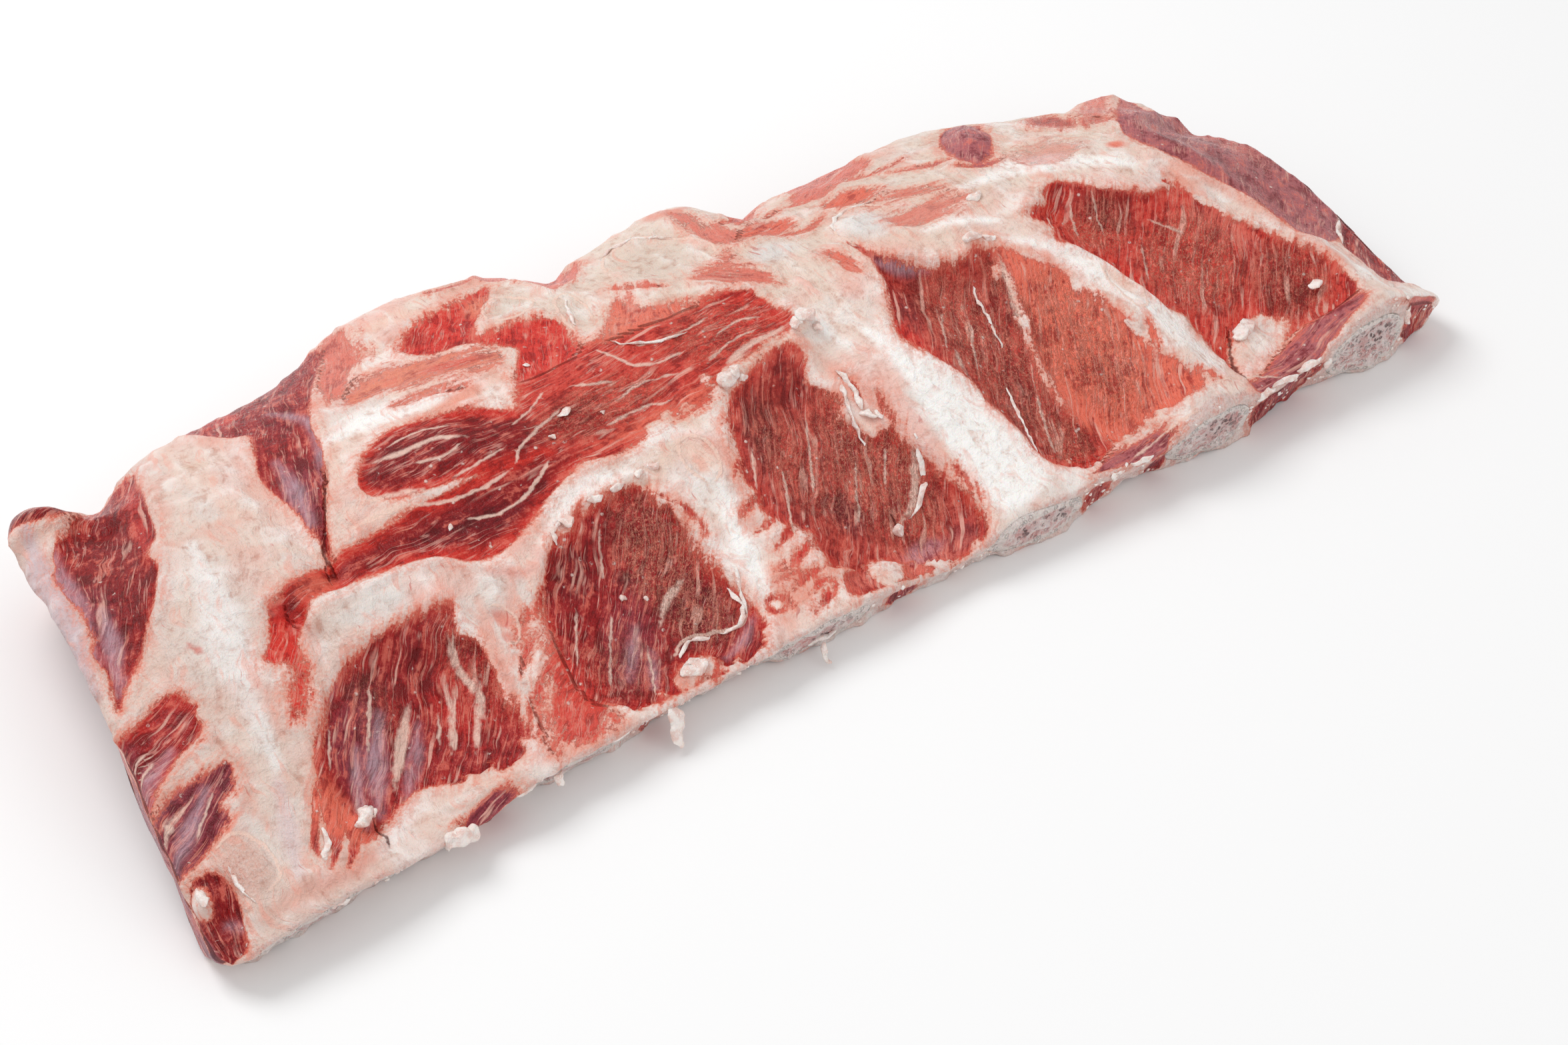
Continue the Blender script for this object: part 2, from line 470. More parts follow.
# Fat that lies in the lean.
fatIslands = [
    [(-66.7, -70.6), (-60, -67), (-54.4, -66.5), (-53, -70), (-55, -74), (-66, -75)],
    [(145.6, -54), (152.2, -49.4), (161, -47.2), (164.4, -50.6), (167, -55.5), (162.2, -60), (152, -64),
     (142, -68.5), (140.5, -63)],
    [(2, -66), (7, -62), (12, -65), (11, -70), (4, -71)],
    [(-206, -67), (-208, -65.5), (-210, -68), (-210.5, -72), (-208, -74), (-206, -71)],
    [(189.5, 41), (193, 40), (199, 47), (205, 57), (206, 64), (201, 62), (195, 53)],
]

# Thin tongues of lean that run into the fat, as half a width and the points that they follow.
tongues = [
    (1.1, [(-19, -50), (-14, -48), (-8, -46.5)]), (1.2, [(-23, -55.8), (-17, -55.6), (-10, -53)]),
    (0.9, [(-25, -59), (-21, -58.4), (-18, -59)]), (0.8, [(-22, -62.6), (-17, -61.4), (-11, -61)]),
    (1.3, [(-19, -66.2), (-14, -64.6), (-8, -64.6)]), (1.5, [(-21, -71.4), (-15, -69), (-9, -66.6)]),
    (0.5, [(-31.5, -62), (-28, -62.6), (-25, -65), (-27, -67), (-31.5, -66), (-31.5, -62)]),
    (0.9, [(-22, -37.4), (-18, -36), (-13, -34)]), (0.8, [(-22, -43.6), (-17, -43), (-12, -41)]),
    (0.9, [(-19, -28), (-16, -26), (-13, -22)]), (1.3, [(-104, -67), (-98, -63), (-91, -58)]),
    (1.2, [(-102, -72), (-96, -69.6), (-90, -66)]), (1.0, [(-101, -57), (-96, -53), (-91, -49)]),
    (0.8, [(-109, -72), (-105, -70), (-101, -69.6)]), (0.8, [(-107, -64), (-103, -61), (-99, -59.6)]),
    (1.0, [(-113, -66), (-111, -61), (-109, -57)]), (0.9, [(42, -50), (43.5, -56), (42.6, -62)]),
    (0.8, [(36, -22), (35, -28), (36.4, -33)]), (0.7, [(31, -12), (31.6, -17), (30.8, -22)]),
    (0.8, [(118, -52), (121, -46), (122, -40)]), (0.8, [(126, -60), (129, -63), (131, -66)]),
    (0.8, [(-37, -28), (-34.6, -33), (-34.8, -38)]), (0.8, [(186, -24), (183.6, -18), (180, -12)]),
    (0.8, [(176, -4), (173, 1), (170, 7)]),
    (1.2, [(-109, -75), (-104, -71), (-98, -66)]), (1.0, [(-107, -63), (-102, -58), (-97, -54)]),
    (1.1, [(-111, -70), (-106, -66), (-101, -62)]), (0.9, [(-104, -52), (-99, -47), (-94, -44)]),
    (0.9, [(-100, -44), (-96, -40), (-92, -37)]), (1.0, [(30, 64), (38, 60), (48, 62)]), (0.9, [(46, 44), (56, 42), (66, 46)]),
    (0.8, [(52, 58), (60, 60), (68, 57)]), (1.0, [(-8, 52), (-2, 46), (4, 40)]), (0.8, [(28, 44), (24, 36), (28, 30)]),
    (0.8, [(96, 52), (104, 46), (112, 44)]), (0.7, [(84, 60), (94, 57), (104, 58)]), (0.9, [(110, 38), (118, 34), (126, 34)]),
    (0.7, [(-52, 84), (-42, 86), (-34, 90)]), (0.8, [(-88, 40), (-78, 38), (-68, 34)]), (1.3, [(-160, -48), (-165, -56), (-169, -65)]), (1.1, [(-163, -55), (-169, -64), (-172, -72)]),
    (1.3, [(-165, -61), (-171, -70), (-174, -78)]), (1.0, [(-167, -68), (-173, -76), (-177, -80)]),
    (0.8, [(-168, -57), (-173, -65), (-175, -70)]), (0.9, [(-158, -43), (-163, -49), (-167, -57)]),
    (0.7, [(-171, -62), (-176, -70), (-178, -75)]), (1.2, [(-166, -73), (-170, -79), (-173, -82)]), (0.9, [(60, 26), (61.5, 22), (62, 16)]),
]
# Oval places where flecks of fat break up the lean: x, y, two half sizes, turn and depth in mm.
mottles = [
    (14, -66, 28, 11, 0, 7.0), (-50, -70, 16, 7, 0, 4.0), (-78, -70, 14, 7, 0, 3.0), (74, -66, 12, 7, 0, 4.0),
    (104, -60, 14, 9, 0, 3.6), (112, -34, 7, 22, 8, 3.6), (-128, -70, 20, 6, 0, 3.0), (24, -20, 7, 16, 14, 3.4),
    (-42, -34, 6, 18, 10, 3.0), (-10, 12, 34, 14, 0, 2.6), (-24, 0, 26, 6, 0, 3.0), (168, -14, 8, 22, 32, 2.8),
    (154, 0, 10, 5, 0, 3.0), (-30, 70, 10, 6, 30, 3.0), (-56, 68, 14, 7, 20, 2.4), (72, -30, 6, 24, -24, 2.6),
    (-190, -30, 10, 8, 20, 2.6), (-122, -44, 8, 22, -24, 2.2), (92, -10, 5, 16, -8, 3.0),
]

# White seams, as half a width and the points that they follow: broad ones in the lean, and hairs.
seams = [
    (0.9, [(-106, 21), (-97, 19), (-86, 18.5), (-79, 14.5)]), (0.8, [(-117, 9), (-108, 8), (-98, 5)]),
    (1.3, [(-1, 2), (8, 5), (18, 6), (26, 7)]), (1.6, [(-133, -44), (-141, -53), (-149, -63)]),
    (0.9, [(-113, -46), (-119, -54), (-125, -63)]), (1.1, [(-45, -43), (-53.3, -47), (-60, -53)]),
    (1.0, [(37, -38), (33, -45), (28, -51), (22, -54)]), (1.0, [(65, -22), (62, -32)]),
    (0.9, [(206, -37), (211, -30), (216, -25)]), (1.8, [(-211, -53), (-205, -48), (-200, -46)]),
    (1.0, [(-115, -34), (-117, -42), (-116, -50), (-119, -57)]), (0.8, [(-121, -40), (-124, -50), (-130, -60)]),
    (1.2, [(-122, 3.5), (-112, 4), (-104, 3)]), (0.9, [(97, 0), (93, -12), (90.5, -22)]),
]
hairs = [
    (0.45, [(-97, 13.5), (-89, 11.5), (-81, 13.5)]), (0.5, [(-104, 3), (-96, 0), (-84, -1.2), (-74, 0)]),
    (0.5, [(-72, 1), (-66, 6), (-57, 10), (-49, 13)]), (0.5, [(-93, -7), (-84, -9), (-76, -8.5), (-68, -5), (-62, -1)]),
    (0.35, [(-90, 4.5), (-80, 5.5), (-71, 7)]), (0.4, [(-44, 18), (-37, 15.5), (-31, 13)]),
    (0.4, [(-30, 26), (-25, 17), (-19, 13), (-8, 12)]), (0.35, [(-66, 13), (-58, 16), (-50, 21)]),
    (0.4, [(-20, 20), (-8, 17.5), (6, 20)]), (0.35, [(-34, 8), (-24, 9.5), (-14, 7)]), (0.35, [(-42, 2), (-30, 3), (-20, 1)]),
    (0.4, [(2, 12), (12, 15), (20, 13)]), (0.35, [(-4, 6), (6, 9), (16, 10)]),
    (0.4, [(-117, -41), (-113, -33)]), (0.35, [(-127, -49), (-132, -57)]), (0.4, [(-140, -36), (-150, -52)]),
    (0.35, [(-121, -46), (-129, -60)]), (0.35, [(-156, -44), (-163, -56)]), (0.3, [(-100, 24), (-90, 25), (-80, 22)]),
    (0.5, [(-62, -62), (-55, -58.5), (-47, -60), (-40, -63), (-35, -58)]), (0.35, [(-70, -44), (-82, -63)]),
    (0.3, [(-78, -40), (-88, -56)]), (0.3, [(-66, -56), (-74, -72)]), (0.3, [(-60, -24), (-66, -34)]),
    (0.4, [(-2, -30), (-13, -50)]), (0.35, [(14, -18), (3, -38)]),
    (0.3, [(-8, -22), (-14, -34)]), (0.35, [(20, -34), (10, -50)]), (0.35, [(30, -34), (24, -44)]),
    (0.4, [(78, -12), (68, -30)]), (0.35, [(72, -6), (62, -22)]), (0.35, [(82, -40), (74, -60)]),
    (0.4, [(122, 7), (117, -2)]), (0.45, [(131, 8), (126, -4)]), (0.35, [(138, 6), (134, -6)]),
    (0.35, [(142, -14), (136, -26)]), (0.3, [(150, -8), (156, -18)]), (0.35, [(-202, -55), (-192, -47)]),
    (0.4, [(-209, -33), (-200, -29)]), (0.45, [(-210, -37), (-200, -32)]), (0.4, [(124, -68), (140, -66), (152, -70)]),
    (0.4, [(92, -72), (104, -71), (118, -73)]),
    (0.5, [(-46, 58), (-44, 66), (-38, 69), (-32, 66), (-30, 60), (-34, 56), (-41, 55), (-46, 58)]),
    (0.5, [(-29, 37), (-28, 46), (-25, 56), (-20, 58), (-18, 50), (-21, 41)]),
    (0.5, [(-4, 60), (1, 71), (8, 75), (16, 72), (22, 64), (27, 53), (25, 43)]),
    (0.5, [(62, 22), (60, 30), (63, 38), (70, 42), (78, 40), (81, 33)]),
    (0.55, [(-26, -27), (-29, -21), (-27.5, -13.5), (-23, -12), (-19, -17), (-20, -24), (-25, -27.5)]),
    (0.4, [(122, -17), (121, -26), (123, -35), (127, -35), (128, -26), (125, -17)]),
    (0.45, [(-102, -32), (-98, -33), (-96, -38), (-99, -43), (-103, -42)]),
    (0.5, [(-200, -61), (-192, -61), (-188, -68), (-189, -76), (-195, -79)]),
]

# Dark splits in the surface, as half a width, the points that they follow and a depth.
splits = [
    (0.3, [(-133, -7), (-131.5, 3), (-128, 9), (-122, 19), (-117, 29)], 1.2),
    (0.9, [(-118.8, 23), (-118.3, 27), (-117.3, 31)], 1.4),
    (0.3, [(150, -48), (143, -58), (140.6, -67)], 1.0),
    (0.3, [(21, -50), (20, -57)], 0.7),
    (0.3, [(-134, -3), (-135, -8)], 0.5),
    (0.25, [(-158, -66), (-159, -74), (-160, -80)], 0.8),
]

# Bands of silvery film, as half a width and the points that they follow.
films = [
    (4.4, [(-190, 50), (-193, 40), (-196, 27), (-198, 12), (-200, 0)]), (2.6, [(-190, 18), (-193, 6), (-198, -8)]),
    (4.0, [(-211, -58), (-202, -52), (-194, -46)]), (3.2, [(-212, -42), (-204, -36), (-196, -32)]),
    (3.6, [(-142, -44), (-150, -56), (-156, -68)]), (2.0, [(-134, -50), (-142, -62)]), (2.2, [(-66, -58), (-72, -68)]),
    (2.6, [(-126, 40), (-127.5, 26), (-130, 12)]),
    (1.6, [(-213, -47), (-203, -41), (-196, -38.5), (-189, -40.5)]),
    (1.6, [(-146, -24), (-150, -32), (-154, -38)]),
    (1.6, [(-204, -82), (-206, -78)]),
    (2.6, [(-196, -6), (-199, -10)]),
    (1.6, [(-50, -70), (-43, -68), (-37, -64)]), (1.3, [(62, 15), (67, 12), (75, 6)]),
    (1.4, [(-116, 64), (-110, 52), (-114, 36), (-120, 24)]), (1.2, [(-152, -50), (-158, -62), (-162, -72)]),
    (1.2, [(-66, -50), (-76, -62)]), (1.0, [(-140, -56), (-148, -68)]),
]

# Colours laid on the fat: a band with half a width, or a spot with its two half sizes and turn.
fatBands = [
    ("peach", 9.0, 0.8, [(-146, 74), (-147, 50), (-146, 26)]),
    ("violet", 4.4, 1.0, [(-192, 62), (-196, 46), (-199.5, 28), (-202, 8), (-204, -8)]),
    ("mauve", 1.8, 0.7, [(-198, 56), (-203, 34), (-206, 10), (-208, -8)]),
    ("white", 6.0, 1.0, [(-161, 22), (-165, 2), (-169.5, -16), (-172, -34), (-175, -50)]),
    ("blush", 4.0, 0.55, [(-187, -10), (-188, -26), (-184, -40)]), ("blush", 3.0, 0.6, [(-183, -44), (-186, -56), (-184, -64)]),
    ("blush", 3.0, 0.6, [(-164, -20), (-168, -32), (-170, -44)]), ("rose", 2.0, 0.5, [(-160, 66), (-164, 54)]),
    ("blush", 3.0, 0.5, [(-136, 60), (-133, 48), (-136, 36)]), ("peach", 5.0, 0.6, [(-106, 52), (-110, 40), (-118, 20)]),
    ("blush", 4.5, 0.8, [(-164, -82), (-182, -83), (-198, -84)]), ("rose", 1.4, 0.5, [(-160, -79), (-174, -84), (-186, -82)]), ("peach", 4.0, 0.7, [(-148, -76), (-136, -70), (-124, -76)]),
    ("shade", 4.5, 0.9, [(-140, -76), (-128, -79), (-116, -79)]), ("white", 3.0, 0.8, [(-150, -72), (-158, -78), (-164, -82)]),
    ("lilac", 5.0, 0.9, [(-177, -54), (-181, -66), (-185, -78)]),
    ("pearl", 4.4, 1.0, [(-23, -28), (-26.5, -40), (-28.5, -52), (-31, -66)]),
    ("pearl", 5.5, 0.8, [(102, 2), (111, -6), (119, -18), (127, -34), (132, -50), (133, -64)]),
    ("cool", 4.0, 0.8, [(-168, 24), (-175, 10), (-183, -3)]),
    ("pearl", 6.0, 0.9, [(104, 27), (122, 27), (140, 20), (156, 8)]),
    ("pearl", 3.6, 1.0, [(82, 17), (92, 15), (104, 9)]),
    ("pearl", 8.0, 0.9, [(-114, 38), (-98, 39), (-80, 36), (-64, 33)]),
    ("pearl", 4.0, 0.8, [(-44, -12), (-34, -8), (-26, -9), (-18, -16)]),
    ("pearl", 2.8, 0.9, [(-78, -22), (-64, -15), (-50, -13), (-40, -17)]),
    ("pearl", 3.2, 0.7, [(-152, -15), (-136, -13), (-120, -15)]),
    ("pink", 3.5, 0.8, [(34, -8), (38, -30), (40, -56)]),
    ("blush", 2.0, 0.5, [(166, 4), (176, -12), (188, -34), (194, -52)]),
    ("pearl", 2.6, 0.9, [(22, 5), (28, 6), (33, 2), (37, -8)]),
    ("pearl", 5.0, 0.8, [(196, -42), (200, -54), (204, -66)]),
    ("peach", 6.0, 0.7, [(-80, 82), (-64, 78), (-52, 72)]),
    ("pearl", 5.0, 0.6, [(134, 60), (146, 54), (154, 34)]),
    ("blush", 4.0, 0.7, [(-114, -77), (-100, -78), (-84, -77.5)]), ("blush", 3.6, 0.6, [(-103, -30), (-106, -42), (-108, -56)]),
    ("blush", 3.0, 0.6, [(-90, -26), (-96, -36), (-99, -50)]), ("rose", 1.6, 0.5, [(-96, -24), (-86, -28), (-80, -24)]),
    ("orange", 4.6, 0.8, [(-160, -46), (-166, -58), (-171, -68), (-174, -78)]), ("orangeRed", 1.6, 0.6, [(-161, -52), (-166, -62), (-169, -74)]),
    ("orange", 2.4, 0.5, [(-152, -20), (-156, -28), (-160, -34)]), ("orange", 2.2, 0.5, [(-168, -56), (-172, -66), (-172, -76)]),
    ("blush", 2.6, 0.6, [(-26, -10), (-19, -16), (-17, -26), (-20, -36)]), ("blush", 2.4, 0.5, [(-60, 76), (-44, 80), (-34, 84)]),
    ("blush", 2.0, 0.5, [(-4, -78), (16, -77), (36, -77)]), ("orange", 1.8, 0.4, [(100, 0), (108, -8), (114, -20)]),
]
fatSpots = [
    ("grey", 12, 58, 13, 17, 0, 1.0), ("grey", 8, 44, 12, 8, 0, 0.6), ("grey", -23.5, 47, 5, 11, -12, 1.0),
    ("grey", -38, 62, 8, 6.5, 20, 1.0), ("cool", 70, 31, 9.5, 10, 0, 1.0), ("cool", 39, 36, 9, 6, 0, 0.9),
    ("blush", -195, -70, 7, 10, 0, 0.7), ("cool", -128, -21, 17, 5, -3, 0.9), ("blush", -137, 45, 4, 6, 0, 0.35),
    ("blush", -148, 9, 3, 4, 0, 0.35), ("rose", -99.5, -36, 2.2, 3.6, 20, 0.7), ("rose", -101, -41, 1.8, 1.8, 0, 0.6),
    ("peach", -24, -19, 4.6, 6.8, 5, 0.9), ("peach", 124.5, -26, 2.6, 8, 18, 0.9),
    ("bright", -176.7, -12, 1.3, 1.6, 0, 1.0), ("bright", -178, -10, 0.8, 1.6, -50, 0.8),
    ("sand", -146, 52, 6, 5, 0, 0.5), ("orangeRed", 157, 18, 3.4, 2.4, -30, 0.9),
    ("blush", -5, -62, 8, 6, 0, 0.5), ("blush", -22, -62, 6, 9, 0, 0.5), ("blush", -168, -66, 7, 12, 0, 0.5),
    ("blush", 52, 12, 8, 8, 0, 0.35), ("blush", -92, -60, 12, 12, 0, 0.5), ("orange", -72, 31, 12, 3.5, 12, 0.7),
    ("pink", -70, 92, 40, 9, 0, 0.6), ("rose", 84, 82, 26, 6, 0, 0.5), ("rose", 30, 80, 10, 5, 0, 0.6),
    ("pink", 180, 54, 20, 10, 40, 0.7), ("blush", 104, 74, 10, 10, 0, 0.5), ("blush", -30, 88, 18, 8, 20, 0.6),
    ("blush", -118, -62, 6, 12, -20, 0.5), ("pink", -115, -24, 7, 8, 0, 0.7), ("blush", -150, -20, 5, 6, 0, 0.4),
    ("blush", 30, -12, 3, 10, 12, 0.5), ("pink", -176, -30, 6, 8, 0, 0.3), ("orange", 165, -2, 3, 8, 30, 0.4),
]
ribFourBand = [
    (42.8, -2), (47, -8), (51.7, -12.8), (60.6, -28.3), (62.8, -45), (67.2, -56), (65, -66), (56, -71),
    (47.2, -70), (43.9, -61.7), (43.9, -39.4), (43.9, -17.2),
]

# Small raised or sunken places: x, y, two half sizes, turn and height.
bumps = [
    (28, 4.5, 4.2, 2.0, 20, 1.8), (-161.4, -69.4, 4.4, 2.6, 30, 1.9), (-208, -69.5, 2.8, 4.2, 0, 1.4),
    (180.2, -51.7, 2.6, 2.4, 0, 1.0), (69, 30, 9, 8, 0, 1.0), (-24, -19, 4.6, 6.8, 5, -0.9),
    (124.5, -26, 2.4, 8, 18, -0.7), (91, 5.6, 3.4, 2.4, 0, 1.2), (-99.5, -36, 2, 3.6, 20, -1.0),
    (-101, -41.5, 1.8, 1.8, 0, -0.9), (10, 60, 12, 15, 0, -1.2), (-20, 45, 5, 9, -12, -1.0),
    (-37, 62, 8, 4.4, 20, -0.9), (153, -56, 8, 5, 35, 1.2), (-183, -80, 5, 2.2, 20, 0.9), (-172, -79, 4, 1.6, -30, 0.8), (-199, -82, 3, 4, 0, 0.8), (-61, -70, 6, 4, 10, 1.0), (-195, -70, 6, 9, 0, 0.9),
    (19.4, -55.6, 1.6, 1.6, 0, 1.0), (92, 13, 7, 2.6, -20, 1.0), (-130, -14.5, 14, 1.6, 4, 1.0),
    (-145, -17, 3, 3, 0, 1.0), (-50, -16, 14, 1.6, 3, 0.8), (-72, -25, 5, 1.6, 35, 0.8), (12, 4.5, 12, 1.4, 4, 0.9),
    (-146, -80, 8, 4, 0, 1.4), (126, 50, 7, 10, -30, 1.6),
]

leanSpots = [
    ("purple", -151, -48, 8, 17, -35, 0.9), ("maroon", -141, -36, 8, 5, 0, 0.5), ("orangeRed", -169, -64, 8, 18, 20, 0.9),
    ("bright", -120, -50, 10, 16, 0, 0.5), ("maroon", -126, -38, 5, 7, 0, 0.4), ("purple", -70, -54, 9, 18, -38, 0.6),
    ("maroon", -61, -37, 4, 3, 0, 0.8), ("maroon", -74, -32, 7, 9, -40, 0.5), ("bright", -90, -62, 8, 12, 0, 0.6),
    ("maroon", -48, -52, 9, 14, 0, 0.5), ("bright", -13, -60, 7, 13, 0, 0.7), ("purple", 30, -67, 10, 5, 0, 0.6),
    ("maroon", -2, -18, 6, 14, -30, 0.6), ("maroon", 8, -46, 6, 8, 0, 0.8), ("deep", 14, -8, 9, 6, 0, 0.6),
("plum", 67, 13, 3.5, 9, 45, 0.9), ("bright", 54, -14, 3, 13, 10, 0.7),
    ("maroon", 64, -2, 6, 12, -30, 0.5), ("maroon", 74, -44, 5, 13, -28, 0.4), ("maroon", 92, -14, 3, 14, -8, 0.5),
    ("bright", 80, -65, 9, 5, 0, 0.6), ("bright", 131, -24, 3.4, 13, 12, 1.0), ("deep", 174, -44, 12, 15, 0, 0.7),
    ("deep", 140, 0, 14, 8, -45, 0.7), ("bright", 152, -8, 8, 4, -35, 0.5), ("rose", 168, -22, 5, 14, 32, 0.5),
    ("bright", 14, 16, 16, 12, 0, 0.7), ("orangeRed", -20, -2, 30, 3.5, 2, 0.7), ("deep", -48, 8, 12, 9, 0, 0.6),
    ("maroon", -92, -9, 22, 5, -3, 0.5), ("deep", -67, 66, 5, 6, 0, 0.5), ("bright", -66, 46, 12, 2.6, -14, 0.8),
    ("deep", -58, 54, 6, 3, -20, 0.5), ("purple", -192, 16, 6, 16, -15, 0.6), ("bright", -167, 46, 3.5, 22, -14, 0.5),
    ("purple", -207, -28, 5, 6, 0, 0.6), ("purple", -127, 22, 6, 20, -22, 0.8), ("plum", -114, 62, 8, 16, -24, 0.5),
    ("bright", -126, 76, 7, 7, 0, 0.6), ("orangeRed", -140, -8, 8, 5, 10, 0.6), ("rose", 205, 20, 8, 24, 0, 0.4),
    ("maroon", 182, 12, 7, 20, 30, 0.25), ("rose", 190, 52, 20, 9, 42, 0.5), ("maroon", -200, -74, 2.5, 9, 0, 0.5),
    ("rose", 14, -68, 24, 6, 0, 0.8), ("violet", 22, -64, 8, 4, 10, 0.4), ("orange", -42, 68, 9, 7, 30, 0.7), ("orange", -22, 34, 9, 9, 0, 0.5), ("orangeRed", 104, -52, 9, 12, 0, 0.0),
]
tanSpots = [  # where dried fibres catch the light: x, y, two half sizes, strength
    (-49, -36, 13, 20, 1.0), (-48, -54, 11, 12, 0.9), (24, -38, 17, 28, 1.0), (4, -30, 14, 22, 0.6), (76, -26, 16, 36, 0.9),
    (92, -20, 5, 24, 0.8), (80, -56, 10, 10, 0.9), (152, -26, 18, 18, 1.0), (134, -4, 12, 10, 0.8), (176, -46, 14, 14, 0.6),
    (104, -36, 13, 28, 0.8), (-112, -44, 10, 18, 0.4), (-40, 8, 24, 9, 0.6), (6, 14, 20, 12, 0.5), (190, 5, 26, 40, 0.15),
    (-142, -42, 8, 12, 0.3), (-76, -60, 14, 12, 0.3),
]


def spotShare(x, y, spotX, spotY, wide, deep, turn=0):
    # 1 in the middle of an oval spot, 0 outside it
    c, s = math.cos(math.radians(turn)), math.sin(math.radians(turn))
    u, v = (x - spotX) * c + (y - spotY) * s, (y - spotY) * c - (x - spotX) * s
    return 1 - smooth(0.45, 1.15, np.hypot(u / wide, v / deep))


def lay(coat, key, tint, share):
    coat[key] += (tint - coat[key]) * share[:, None]


def emptyCoat(count):
    # what each place of the skin carries: lengths in mm, shares and colours
    coat = {key: np.zeros(count) for key in ("fringe", "tan", "film", "crumble", "lift")}
    coat["whole"], coat["veil"] = np.ones(count), np.ones(count)
    coat["leanBy"] = np.full(count, -12.0)
    coat["seamBy"] = np.full(count, -6.0)
    for key in ("hair", "split"):
        coat[key + "Gap"], coat[key + "Wide"] = np.full(count, 5.0), np.full(count, -1.0)
    coat["fibre"] = np.zeros((count, 3))
    coat["leanColour"] = np.tile(colours["lean"], (count, 1))
    coat["fatColour"] = np.tile(colours["cream"], (count, 1))
    return coat


def leanCoat(coat, x, y):
    # the lean patches: where they are, which way their fibres run and how far they are sunk
    bys = np.array([withinBy(patch[4], x, y) for patch in leanPatches.values()])
    weights = np.exp(bys / 1.2)
    tints = np.array([colours[patch[1]] for patch in leanPatches.values()])
    coat["leanColour"] = (weights.T @ tints) / weights.sum(0)[:, None]
    top = bys.argmax(0)
    coat["leanBy"] = bys.max(0)
    for wide, line in tongues:
        coat["leanBy"] = np.maximum(coat["leanBy"], 1.5 * lineBy(line, wide, x, y) + 0.2)
    broken = 0.5 + 0.5 * grain(np.stack([x, y, 0 * x], 1), 4.2, 14) + 0.4 * grain(np.stack([x, y, 0 * x], 1), 2.2, 15)
    for *spot, depth in mottles:
        coat["leanBy"] -= depth * spotShare(x, y, *spot) * smooth(0.5, 0.85, broken)
    for island in fatIslands:
        coat["leanBy"] = np.minimum(coat["leanBy"], -withinBy(island, x, y))
    degrees = np.array([patch[0] for patch in leanPatches.values()])
    elsewhere = np.where(degrees[:, None] == degrees[top], -12, bys).max(0)
    steady = np.array([calm.get(name, 1.0) for name in leanPatches])
    coat["whole"] = smooth(0.4, 1.8, bys.max(0) - elsewhere) * (weights.T @ steady) / weights.sum(0)
    coat["veil"] = (weights.T @ np.array([veiled.get(name, 1.0) for name in leanPatches])) / weights.sum(0)
    rims = np.array([rimmed.get(name, 0.0) for name in leanPatches])[top]
    lay(coat, "leanColour", colours["rim"], rims * smooth(5.0, 0.8, coat["leanBy"] + 1.5 * grain(np.stack([x, y, 0 * x], 1), 7, 12)))
    angles = np.radians(degrees[top])
    alongFibre = x * np.cos(angles) + y * np.sin(angles)
    acrossFibre = y * np.cos(angles) - x * np.sin(angles)
    short = np.array([1 + 1.2 * (name.startswith("flames")) for name in leanPatches])[top]
    coat["fibre"] = np.stack([alongFibre * short, acrossFibre, 7.0 * degrees[top]], 1)
    fringes = np.array([patch[2] for patch in leanPatches.values()])
    coat["fringe"] = (weights.T @ fringes) / weights.sum(0)
    sinks = np.array([patch[3] for patch in leanPatches.values()])
    sunk = (sinks[:, None] * smooth(-1.4, 2.6, np.minimum(bys, coat["leanBy"]))).max(0)
    raised = (np.maximum(-sinks, 0)[:, None] * smooth(-1, 5, bys)).max(0)
    coat["lift"] += 1.6 * raised - sunk + 0.55 * np.exp(-(((coat["leanBy"] + 2.2) / 1.4) ** 2))
    for name, *spot, strength in leanSpots:
        lay(coat, "leanColour", colours[name], strength * spotShare(x, y, *spot))
    for *spot, strength in tanSpots:
        coat["tan"] = np.maximum(coat["tan"], strength * spotShare(x, y, *spot))


